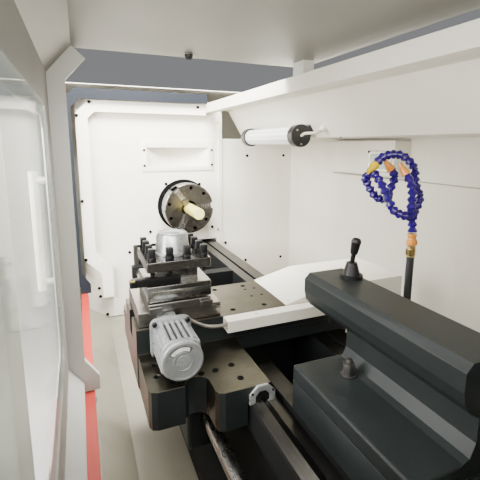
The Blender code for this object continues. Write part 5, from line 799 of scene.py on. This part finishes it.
SEGMENT = 14
BEAD_RADIUS, BEAD_SKIRT, BEAD_SIDES = 9.8, 3.4, 14
BEAD_STEPS = ((3.0, 0.82), (4.4, 0.66), (2.4, 1.24), (2.0, 0.92))
BEAD_FOOT_SHARE = 0.86
NOZZLE_RADIUS, NOZZLE_COLLAR, NOZZLE_SIDES = 8.8, 6, 18
NOZZLE_STEPS = ((0.6, 0.88), (5, 0.95), (9, 0.62), (6, 0.86))
NOZZLE_WALL, NOZZLE_BORE = 0.9, 8
ADAPTER_RADIUS, ADAPTER_HEX, ADAPTER_SIDES = 11.2, 9, 8
ADAPTER_STEPS = ((2, 0.8), (6, 0.94), (1, 1.12), (5, 1.0))
ADAPTER_FOOT = (1403, 130, 113.3)
HOSE_FOOT = (1403, 130, 139.1)
ARM_STEP = 6.25
ARMS = {
    "yellow": (
        (0.0, 0.0, 0.0), (-0.8, 0.5, 5.4), (-1.4, 3.4, 10.6), (-3.4, 3.2, 15.8),
        (-4.6, 3.0, 21.1), (-6.1, -1.1, 25.0), (-6.6, -7.7, 24.8), (-6.1, -12.2, 21.8),
    ),
    "orange": (
        (-0.8, 0.5, 5.4), (0.2, -3.4, 5.7), (-0.5, -8.0, 7.7), (-1.6, -10.2, 12.3), (-3.4, -11.5, 16.3),
        (-6.7, -11.7, 19.2), (-10.2, -11.7, 17.6), (-10.1, -10.1, 14.1), (-8.8, -8.0, 11.0),
        (-7.6, -5.3, 10.6), (-7.0, -3.7, 14.4), (-6.8, -3.0, 18.2), (-7.4, -5.3, 21.8),
    ),
    "orange_short": (
        (-0.8, 0.5, 5.4), (0.6, -2.0, 7.7), (0.5, -1.9, 13.0), (-0.6, -2.2, 16.8), (-2.7, -3.4, 20.8),
    ),
}


def hose_bead():
    """One segment of the hose: a flared skirt, a rolled lip and the ball that the next one grips."""
    piece = cylinder(BEAD_RADIUS, BEAD_SKIRT, BEAD_SIDES)
    drawn_up(piece, BEAD_STEPS)
    leave()
    picked(piece, facing(Z, -1))
    widened(BEAD_FOOT_SHARE)
    leave()
    smoothed(50)
    return piece


def nozzle_master():
    """Push-on nozzle with a collar, narrowing to its mouth."""
    piece = cylinder(NOZZLE_RADIUS, NOZZLE_COLLAR, NOZZLE_SIDES)
    drawn_up(piece, NOZZLE_STEPS)
    inset(NOZZLE_WALL)
    pushed(0, 0, -NOZZLE_BORE)
    leave()
    smoothed(40)
    return piece


def segmented_hose():
    """The coolant hose's beads along its three arms, with the nozzles and the adapter."""
    foot = place(*HOSE_FOOT)
    beads = []
    for name, arm in ARMS.items():
        corners = [foot + Vector(step) * ARM_STEP * MILLIMETRE for step in arm]
        *middle, end = smooth_points(corners, SEGMENT * MILLIMETRE)
        beads += [aimed(at, heading) for at, heading in middle]
        repeated(nozzle_master(), [aimed(*end)], f"nozzle_{name}", "tailstock", name.split("_")[0])
    hose = repeated(hose_bead(), beads, "hose_segments", "tailstock", "blue")
    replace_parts(hose, "coolant_hose")
    adapter = cylinder(ADAPTER_RADIUS, ADAPTER_HEX, ADAPTER_SIDES)
    drawn_up(adapter, ADAPTER_STEPS)
    leave()
    rounded(adapter, 0.5)
    repeated(adapter, [stood(ADAPTER_FOOT, (0, 0, 1))], "hose_adapter", "tailstock", "orange")


# Indexing motor

MOTOR_START = 1174
MOTOR_FLANGE, MOTOR_HALF, MOTOR_CAP = 46, 34, 42.5
FLANGE_THICK = 11
MOTOR_CORNER_SHARE, COLLAR_CORNER_SHARE = 0.34, 0.62
COLLAR_LENGTH, CAP_LENGTH = 11, 12
BARREL_END, COLLAR_END = MOTOR_END - 15, MOTOR_END - 9
BRACKET_START, BRACKET_HALF, BRACKET_LOW, BRACKET_HIGH = 1123.4, 20, 5, 34
RIB_PITCH, RIB_RISE, RIB_HALF, RIB_SINK = 12.4, 6.5, 3.4, 0.5
RIB_START, RIB_END = MOTOR_START + 13, MOTOR_END - 17
# Where the near-black strips of painted shade lie in the grooves between the ribs
GROOVE_START, GROOVE_END = MOTOR_START + 14, MOTOR_END - 21
GROOVE_LOW, GROOVE_HIGH = MOTOR_HALF + 0.1, MOTOR_HALF + 0.7
GROOVE_HALF = RIB_PITCH / 2 - RIB_HALF - 0.1
FLANGE_SCREW, FLANGE_SCREW_REACH = (5.5, 6), 37
CAP_RING, CAP_RING_SIDES = (38.5, 1.2), 48
CAP_RINGS = ((1.6, -0.9), (17, 1.2), (1.6, -1.0), (5.5, 0.9))
PLATES = (("motor_plate_edge", 21.5, 32.5, 46, 0.9, "black"), ("motor_plate", 22.8, 31.2, 43, 1.1, "label"))
PLATE_MIDDLE, PLATE_STEPS, PLATE_THICK = 100, 14, 0.3
SPIN_MERGE = 1e-6
CONDUIT_ROUTE = (
    (1170, -290, -77), (1167, -270, -92), (1158, -238, -112), (1151, -205, -121), (1151, -148, -121),
)
CONDUIT_APART, CONDUIT_LIFT, CONDUIT_PITCH = 4.6, 1.2, 2.6
CONDUIT_RADIUS, CONDUIT_WAIST, CONDUIT_SIDES = 3.2, 1.1, 12
CONDUIT_STEPS = ((0.3, 1.16), (0.9, 1.0), (0.3, 0.87), (0.5, 1.0))


def motor_square(start, end, half, share=MOTOR_CORNER_SHARE):
    """A length of the motor's rounded square section."""
    y, z = MOTOR_CENTRE
    return round_edges(box_between((start, y - half, z - half), (end, y + half, z + half)), X, half * share)


def motor_strips(start, end, offset, half, low, high):
    """A strip on one side of the barrel, and its like on the side at right angles to it."""
    y, z = MOTOR_CENTRE
    return [
        box_between((start, y + offset - half, z + low), (end, y + offset + half, z + high)),
        box_between((start, y + low, z + offset - half), (end, y + high, z + offset + half)),
    ]


def indexing_motor():
    """Ribbed square motor on its arm, with a screwed flange and a round end cap."""
    y, z = MOTOR_CENTRE
    flange = rounded(motor_square(MOTOR_START, MOTOR_START + FLANGE_THICK, MOTOR_FLANGE), 1)
    barrel = rounded(motor_square(MOTOR_START + FLANGE_THICK - 1, BARREL_END, MOTOR_HALF), 0.6)
    collar = motor_square(COLLAR_END - COLLAR_LENGTH, COLLAR_END, MOTOR_HALF + RIB_RISE, COLLAR_CORNER_SHARE)
    rounded(collar, 1.2)
    cap = cylinder(MOTOR_CAP, CAP_LENGTH, 64)
    cap.data.transform(stood((MOTOR_END - CAP_LENGTH, y, z), (1, 0, 0)))
    arm = box_between(
        (BRACKET_START, y - BRACKET_HALF, z + BRACKET_LOW),
        (MOTOR_START + 1, y + BRACKET_HALF, z + BRACKET_HIGH),
    )
    ribs = []
    for i in range(-2, 3):
        for side in (-1, 1):
            low, high = sorted((side * (MOTOR_HALF - 2 * RIB_SINK), side * (MOTOR_HALF + RIB_RISE)))
            ribs += motor_strips(RIB_START, RIB_END, i * RIB_PITCH, RIB_HALF, low, high)
    ribs = [rounded(rib, 0.7) for rib in ribs]
    motor = joined([flange, barrel, collar, rounded(cap, 2, 3), rounded(arm, 1), *ribs])
    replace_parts(settled(motor, "indexing_motor", "cross_slide", "alloy"), "turret_motor")


def motor_details():
    """Cap screws on the indexing motor's flange, and the rings and plate on its end cap."""
    y, z = MOTOR_CENTRE
    face = MOTOR_START + FLANGE_THICK + 0.2
    corners = [
        stood((face, y + a * FLANGE_SCREW_REACH, z + b * FLANGE_SCREW_REACH), (1, 0, 0))
        for a in (-1, 1) for b in (-1, 1)
    ]
    repeated(socket_screw(*FLANGE_SCREW), corners, "motor_screws", "cross_slide", "black")
    ring = cylinder(*CAP_RING, CAP_RING_SIDES)
    picked(ring, facing(Z))
    for width, rise in CAP_RINGS:
        inset(width)
        pushed(0, 0, rise)
    leave()
    smoothed(30)
    repeated(ring, [stood((MOTOR_END + 0.1, y, z), (1, 0, 0))], "motor_cap_rings", "cross_slide", "alloy")
    for name, inner, outer, spread, lift, material in PLATES:
        spot = stood((MOTOR_END + lift, y, z), (1, 0, 0))
        repeated(arc_plate(inner, outer, spread), [spot], name, "cross_slide", material)


def arc_plate(inner, outer, spread):
    """A thin plate bent round the origin, its middle upwards."""
    bpy.ops.object.select_all(action="DESELECT")
    bpy.ops.mesh.primitive_plane_add(size=1)
    piece = bpy.context.object
    piece.scale = ((outer - inner) * MILLIMETRE, MILLIMETRE, 1)
    piece.location = ((outer + inner) / 2 * MILLIMETRE, 0, 0)
    applied(piece)
    piece.data.transform(Matrix.Rotation(math.radians(PLATE_MIDDLE - spread), 4, "Z"))
    picked(piece, whole)
    turn = -math.radians(2 * spread)
    bpy.ops.mesh.spin(steps=PLATE_STEPS, angle=turn, center=(0, 0, 0), axis=(0, 0, 1))
    bpy.ops.mesh.select_all(action="SELECT")
    bpy.ops.mesh.remove_doubles(threshold=SPIN_MERGE)
    leave()
    thick = piece.modifiers.new("thick", "SOLIDIFY")
    thick.thickness = PLATE_THICK * MILLIMETRE
    bpy.ops.object.modifier_apply(modifier=thick.name)
    return piece


def motor_groove_shade():
    """Near-black strips in the cooling grooves between the motor's ribs, as painted shade."""
    strips = []
    for i in range(-2, 2):
        for low, high in ((GROOVE_LOW, GROOVE_HIGH), (-GROOVE_HIGH, -GROOVE_LOW)):
            strips += motor_strips(GROOVE_START, GROOVE_END, RIB_PITCH * (i + 0.5), GROOVE_HALF, low, high)
    settled(joined(strips), "motor_groove_shade", "cross_slide", "groove")


def motor_conduits():
    """Two thin flexible conduits that sag from the motor's flange into the duct's open end."""
    rings = []
    for side in (-1, 1):
        corners = [place(x + side * CONDUIT_APART, y, z + side * CONDUIT_LIFT) for x, y, z in CONDUIT_ROUTE]
        rings += [aimed(at, heading) for at, heading in smooth_points(corners, CONDUIT_PITCH * MILLIMETRE)]
    ring = cylinder(CONDUIT_RADIUS, CONDUIT_WAIST, CONDUIT_SIDES)
    drawn_up(ring, CONDUIT_STEPS)
    leave()
    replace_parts(repeated(ring, rings, "flexible_conduits", "cross_slide", "braid"), "motor_conduits")


# Four-way post

SKIRT_LOW, SKIRT_HIGH = -45.7, -19.8
SKIRT_BORE, SKIRT_BORE_LOW = (60, 40, 64), -50
SHANK_LEFT, SHANK_RIGHT = 1105.4, 1125.4
SHANK_FRONT, SHANK_REAR = -396, -290.5
SHANK_LOW, SHANK_HIGH = -7.3, 10.7
DOME = (48, 5, 64)
DOME_STEPS = (
    (1, 0.96), (0.3, 0.93), (3, 0.98), (38, 0.89), (3, 0.95), (1.6, 0.93), (0.2, 0.95), (-1.4, 0.98),
    (0.1, 0.62), (1.4, 0.96),
)
COLLAR, HEAD, NECK = (10.4, 9.4, 28), (10.8, 29, 4), (8.8, 12, 24)
BOLT_INSET, BOLTS_PER_EDGE = 14, 4
INSERT_BACK, INSERT_PROUD = 13, 0.6
INSERT_NEAR, INSERT_FAR = 0.5, 12.5
INSERT_THICK, INSERT_LIFT = 3.5, 0.5
INSERT_SCREW, INSERT_SCREW_INSET = (2.4, 1.6), 6.5


def post_skirt():
    """Deep skirt under the post's floor, bored for the base."""
    x, y = POST_CENTRE
    skirt = box_between((x - POST_HALF, y - POST_HALF, SKIRT_LOW), (x + POST_HALF, y + POST_HALF, SKIRT_HIGH))
    bore = cylinder(*SKIRT_BORE)
    bore.data.transform(Matrix.Translation(place(x, y, SKIRT_BORE_LOW)))
    only(skirt)
    hollow = skirt.modifiers.new("bore", "BOOLEAN")
    hollow.object = bore
    hollow.solver = "EXACT"
    bpy.ops.object.modifier_apply(modifier=hollow.name)
    bpy.data.objects.remove(bore)
    settled(rounded(skirt, 0.9), "post_skirt", "tool_post", "post_block")


def tool_shank():
    """The short shank in the post's slot, with its nose drawn forward."""
    shank = box_between((SHANK_LEFT, SHANK_FRONT, SHANK_LOW), (SHANK_RIGHT, SHANK_REAR, SHANK_HIGH))
    picked(shank, facing(Y, -1))
    pushed(2, -7.5, 0)
    widened(1.12, 0.86)
    pushed(3, -4.5, -1)
    widened(0.62, 0.8)
    leave()
    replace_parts(settled(rounded(shank, 0.7), "tool_shank", "tool_post", "black"), "turning_tool")


def post_dome():
    """The post's ringed cap, tapered under a raised rim."""
    dome = cylinder(*DOME)
    drawn_up(dome, DOME_STEPS)
    leave()
    spot = Matrix.Translation(place(*POST_CENTRE, POST_TOP + 0.3))
    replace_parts(repeated(rounded(dome, 0.5), [spot], "post_dome", "tool_post", "alloy"), "turret_cap")


def clamp_bolts():
    """Twelve square-headed screws with collars, standing round the post's top plate."""
    collar = rounded(cylinder(*COLLAR), 1.2)
    head = cylinder(*HEAD)
    head.data.transform(Matrix.Rotation(math.radians(45), 4, "Z"))
    neck = cylinder(*NECK)
    reach = POST_HALF - BOLT_INSET
    steps = [reach * (2 * i / (BOLTS_PER_EDGE - 1) - 1) for i in range(BOLTS_PER_EDGE)]
    ring = [(x, y) for x in steps for y in steps if reach in (abs(x), abs(y))]
    spots = [stood((POST_CENTRE[0] + x, POST_CENTRE[1] + y, POST_TOP + 0.1), (0, 0, 1)) for x, y in ring]
    repeated(joined([collar, rounded(head, 1.3), neck]), spots, "clamp_bolts", "tool_post", "black")


def insert_detail():
    """Gold-coated insert with its clamp screw on the turning tool's nose."""
    low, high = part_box("turning_tool")
    x = (high[0] - ORIGIN.x) / MILLIMETRE
    y = (low[1] - ORIGIN.y) / MILLIMETRE
    z = (high[2] - ORIGIN.z) / MILLIMETRE
    insert = box_between(
        (x - INSERT_BACK, y + INSERT_NEAR, z - INSERT_THICK),
        (x + INSERT_PROUD, y + INSERT_FAR, z + INSERT_LIFT),
    )
    settled(rounded(insert, 0.8), "tool_insert", "tool_post", "brass")
    spot = stood((x - INSERT_SCREW_INSET, y + INSERT_SCREW_INSET, z + INSERT_LIFT - 0.1), (0, 0, 1))
    repeated(socket_screw(*INSERT_SCREW), [spot], "insert_screw", "tool_post", "black")


# Chuck

JAW_ANGLES = (5, 125, 245)
JAW_FACE, JAW_HALF = 129, 13
TOOTH_REACHES = range(60, 108, 9)
TOOTH_WIDTH, TOOTH_RISE = 4.4, 2.6
# The black ring of painted shadow round the chuck's opening: outer radius, thickness and sides, then its
# width
OPENING_SHADOW_RING, OPENING_SHADOW_WIDTH = (136, 0.9, 96), 9


def jaw_teeth():
    """Ground teeth across the face of each jaw."""
    for number, angle in enumerate(JAW_ANGLES, 1):
        teeth = [
            box_between((JAW_FACE + 0.1, r, -JAW_HALF), (JAW_FACE + TOOTH_RISE, r + TOOTH_WIDTH, JAW_HALF))
            for r in TOOTH_REACHES
        ]
        row = joined([rounded(tooth, 0.4) for tooth in teeth])
        axis = place(0, 0, 0)
        turn = Matrix.Rotation(math.radians(angle), 4, "X")
        row.data.transform(Matrix.Translation(axis) @ turn @ Matrix.Translation(-axis))
        settled(row, f"jaw_teeth_{number}", f"jaw_{number}", "bright")


def opening_shadow_ring():
    """Black ring on the panel round the chuck's opening, as painted shadow for the gap."""
    ring = cylinder(*OPENING_SHADOW_RING)
    picked(ring, facing(Z))
    inset(OPENING_SHADOW_WIDTH)
    pushed(0, 0, -0.6)
    leave()
    ring.data.transform(stood((PANEL_FACE, 0, 0), (1, 0, 0)))
    settled(ring, "opening_shadow_ring", "frame", "screw")


# Carriage and tailstock

GUARD_Y, GUARD_Z = -179, -194
GUARD_PLATE, GUARD_PLATE_X, GUARD_RIM, GUARD_SINK = (31, 5.5, 8), 1341.4, 13, 3.5
GUARD_FLOOR, GUARD_FLOOR_X = (17, 1.2, 8), 1343.2
GUARD_FOOT_Z = -204
GUARD_SCREWS_X, GUARD_SCREWS_Y, GUARD_SCREWS_Z = 1346.9, (-202, -156), -180
FOOT_LEFT, FOOT_RIGHT = 1383, 1683
FOOT_FRONT, FOOT_REAR = -131.8, 169.8
FOOT_LOW, FOOT_HIGH = -204.6, -140.3
FOOT_RIM, FOOT_SINK = 14, 4
NUT_SPOT = (1452, -52, -109.6)
WASHER, NUT, STUD = (15, 2.6, 32), (12, 24, 6), (6.5, 32, 20)
# Black discs: the wing's are screw heads with painted shade in their counterbores, the saddle top's are
# painted shade for holes
WING_COUNTERBORES = ((1258, -251), (1251, -211), (1304, -211), (1259, -283))
SADDLE_HOLES = ((985, -65), (985, -36), (1039, -68), (1038, -36))
COVER_SCREWS = ((940, 4, -100.5), (1120, 4, -100.5), (1151, -105, -105.9))


def way_casting():
    """Die-cast eight-sided guard with a dark recess, where the front way leaves the saddle."""
    plate = cylinder(*GUARD_PLATE)
    picked(plate, facing(Z))
    inset(GUARD_RIM)
    pushed(0, 0, -GUARD_SINK)
    leave()
    floor = cylinder(*GUARD_FLOOR)
    for piece, x in ((plate, GUARD_PLATE_X), (floor, GUARD_FLOOR_X)):
        half_turn = Matrix.Rotation(math.radians(22.5), 4, "Z")
        piece.data.transform(stood((x, GUARD_Y, GUARD_Z), (1, 0, 0)) @ half_turn)
        picked(piece, whole)
        bpy.ops.mesh.bisect(
            plane_co=place(0, 0, GUARD_FOOT_Z), plane_no=(0, 0, 1), clear_inner=True, use_fill=True
        )
        leave()
    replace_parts(settled(rounded(plate, 0.8), "way_casting", "carriage", "alloy"), "way_wiper")
    settled(floor, "way_recess", "carriage", "black")
    spots = [stood((GUARD_SCREWS_X, y, GUARD_SCREWS_Z), (1, 0, 0)) for y in GUARD_SCREWS_Y]
    repeated(socket_screw(2.6, 1.6), spots, "casting_screws", "carriage", "black")


def tail_foot():
    """Base of the tailstock on the flat ways, with a shallow recess cast into its ends."""
    foot = box_between((FOOT_LEFT, FOOT_FRONT, FOOT_LOW), (FOOT_RIGHT, FOOT_REAR, FOOT_HIGH))
    for side in (-1, 1):
        picked(foot, facing(X, side))
        inset(FOOT_RIM)
        pushed(-side * FOOT_SINK, 0, 0)
        bpy.ops.transform.resize(value=(1, 0.97, 0.9))
        leave()
    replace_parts(settled(rounded(foot, 2.5), "tail_foot", "tailstock", "slate"), "tailstock_base")


def clamp_nut():
    """Small hexagon nut on its washer and stud, beside the tailstock's web."""
    washer = rounded(cylinder(*WASHER), 0.5)
    nut = rounded(cylinder(*NUT), 1.1)
    stud = rounded(cylinder(*STUD), 1.2)
    spot = stood(NUT_SPOT, (0, 0, 1))
    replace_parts(repeated(joined([washer, nut, stud]), [spot], "hex_nut", "tailstock", "nut"), "clamp_nut")


def saddle_details():
    """Black discs in the saddle's top and its wing, for holes and counterbored screws with painted shade in
    them, and screws in the sheet cover and the cable duct.
    """
    # The wing's black is partly the screws' own black and partly painted shade; the saddle top's discs are
    # painted shade.
    wing = [(x, y, WING_TOP + 0.1) for x, y in WING_COUNTERBORES]
    top = [(x, y, SADDLE_TOP + 0.02) for x, y in SADDLE_HOLES]
    for name, size, places, material in (
        ("wing_screw_and_shade", (7, 0.9), wing, "screw"), ("saddle_hole_shade", (4.4, 0.22), top, "screw"),
        ("cover_screws", (3.6, 2), COVER_SCREWS, "zinc"),
    ):
        spots = [stood(spot, (0, 0, 1)) for spot in places]
        repeated(socket_screw(*size), spots, name, "carriage", material)


# Rear wall, hood and panel

LOUVRE_LEFTS, LOUVRES = (620, 1500), 9
LOUVRE_LENGTH, LOUVRE_HEIGHT, LOUVRE_PITCH, LOUVRE_LOW = 240, 13, 22, -170
PAN_FACE, LOUVRE_FACE = 634.7, 641.5
REAR_SCREWS_X, REAR_SCREWS_Z = (460, 820, 1190, 1560, 1915), (-475, 140)
KEY_COLUMNS, KEY_ROWS, KEY_HALVES = (1822, 1856, 1890, 1924), (398, 366, 334, 302, 270), (12, 11)
SOFT_KEYS, SOFT_KEY_LEFT, SOFT_KEY_PITCH, SOFT_KEY_Z, SOFT_KEY_HALVES = 7, 1578, 35, 220, (13, 8)
KEY_RISE = 3.5
SEAM_FRONT, SEAM_REAR, SEAM_LEFT, SEAM_RIGHT, SEAM_LOW = 638.8, 639.8, 412.6, 1960, -520
SEAM_WIDTH, SEAM_TOP, SEAM_CORNER_TOP = 2.2, 187.4, 188.5
WALL_BOX_FACE = 562
BOX_PLATE_X, BOX_PLATE_Z, BOX_PLATE_RIM = (748, 872), (214, 296), 13
BOX_GLASS_X, BOX_GLASS_Z = (760, 860), (226, 284)
BOX_SCREW_INSET = 6
SOFFIT_Y, SOFFIT_Z, SOFFIT_SCREWS_X = 325, 343, (430, 620, 884)
LAMP_SCREW, LAMP_SCREW_REACH, LAMP_SCREW_FIRST = (3.2, 2.2), 31, 20


def rear_louvres():
    """Two banks of pressed louvres and the screws on the back of the access panel."""
    bars = []
    for left in LOUVRE_LEFTS:
        for low in (LOUVRE_LOW + LOUVRE_PITCH * i for i in range(LOUVRES)):
            bar = box_between((left, PAN_FACE, low), (left + LOUVRE_LENGTH, LOUVRE_FACE, low + LOUVRE_HEIGHT))
            picked(bar, facing(Y))
            widened(0.96, 0.35)
            bpy.ops.transform.translate(value=(0, 0, -3 * MILLIMETRE))
            leave()
            bars.append(rounded(bar, 0.8))
    settled(joined(bars), "rear_louvres", "frame", "white")
    spots = [stood((x, PAN_FACE, z), (0, 1, 0)) for x in REAR_SCREWS_X for z in REAR_SCREWS_Z]
    repeated(socket_screw(6, 3), spots, "rear_screws", "frame", "screw")


def panel_keys():
    """Keypad beside the screen and a row of soft keys below it."""
    front = (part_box("control_box")[0][1] - ORIGIN.y) / MILLIMETRE
    spots = [(x, z, *KEY_HALVES) for x in KEY_COLUMNS for z in KEY_ROWS]
    spots += [(SOFT_KEY_LEFT + SOFT_KEY_PITCH * i, SOFT_KEY_Z, *SOFT_KEY_HALVES) for i in range(SOFT_KEYS)]
    keys = [
        rounded(box_between((x - w, front - KEY_RISE, z - h), (x + w, front - 0.1, z + h)), 1.2)
        for x, z, w, h in spots
    ]
    settled(joined(keys), "panel_keys", "frame", "key")


def guard_seams():
    """Dark joints round the access panel."""
    strips = [
        box_between((SEAM_LEFT, SEAM_FRONT, SEAM_LOW), (SEAM_LEFT + SEAM_WIDTH, SEAM_REAR, SEAM_CORNER_TOP)),
        box_between((SEAM_LEFT, SEAM_FRONT, SEAM_TOP - SEAM_WIDTH), (SEAM_RIGHT, SEAM_REAR, SEAM_TOP)),
    ]
    settled(joined(strips), "access_joints", "frame", "seam")


def wall_box_details():
    """Window plate on the wall box with its glass and screws, and the screws under the hood."""
    (left, right), (low, high) = BOX_PLATE_X, BOX_PLATE_Z
    plate = box_between((left, WALL_BOX_FACE - 3.4, low), (right, WALL_BOX_FACE - 0.3, high))
    picked(plate, facing(Y, -1))
    inset(BOX_PLATE_RIM)
    pushed(0, 1.6, 0)
    leave()
    settled(rounded(plate, 0.8), "wall_box_plate", "frame", "zinc")
    glass = box_between(
        (BOX_GLASS_X[0], WALL_BOX_FACE - 2.6, BOX_GLASS_Z[0]),
        (BOX_GLASS_X[1], WALL_BOX_FACE - 1.0, BOX_GLASS_Z[1]),
    )
    settled(rounded(glass, 0.4), "wall_box_glass", "frame", "box_glass")
    columns = (left + BOX_SCREW_INSET, right - BOX_SCREW_INSET)
    rows = (low + BOX_SCREW_INSET, high - BOX_SCREW_INSET)
    spots = [stood((x, WALL_BOX_FACE - 3.4, z), (0, -1, 0)) for x in columns for z in rows]
    spots += [stood((x, SOFFIT_Y, SOFFIT_Z - 0.2), (0, 0, -1)) for x in SOFFIT_SCREWS_X]
    repeated(socket_screw(4, 3), spots, "box_screws", "frame", "black")


def lamp_details():
    """Three screws on the work lamp's right cap."""
    low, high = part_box("work_lamp")
    x = (high[0] - ORIGIN.x) / MILLIMETRE
    y = ((low[1] + high[1]) / 2 - ORIGIN.y) / MILLIMETRE
    z = ((low[2] + high[2]) / 2 - ORIGIN.z) / MILLIMETRE
    spots = []
    for angle in (math.radians(LAMP_SCREW_FIRST + 120 * i) for i in range(3)):
        across, up = LAMP_SCREW_REACH * math.cos(angle), LAMP_SCREW_REACH * math.sin(angle)
        spots.append(stood((x + 0.1, y + across, z + up), (1, 0, 0)))
    repeated(socket_screw(*LAMP_SCREW), spots, "lamp_screws", "frame", "bright")


add_camera()
add_lights()
add_floor()
coat_nodes()
soften_castings()
guard_screws()
pocket_frame()
segmented_hose()
indexing_motor()
motor_details()
motor_groove_shade()
motor_conduits()
post_skirt()
tool_shank()
post_dome()
clamp_bolts()
jaw_teeth()
opening_shadow_ring()
way_casting()
panel_keys()
rear_louvres()
tail_foot()
clamp_nut()
saddle_details()
guard_seams()
wall_box_details()
lamp_details()
insert_detail()
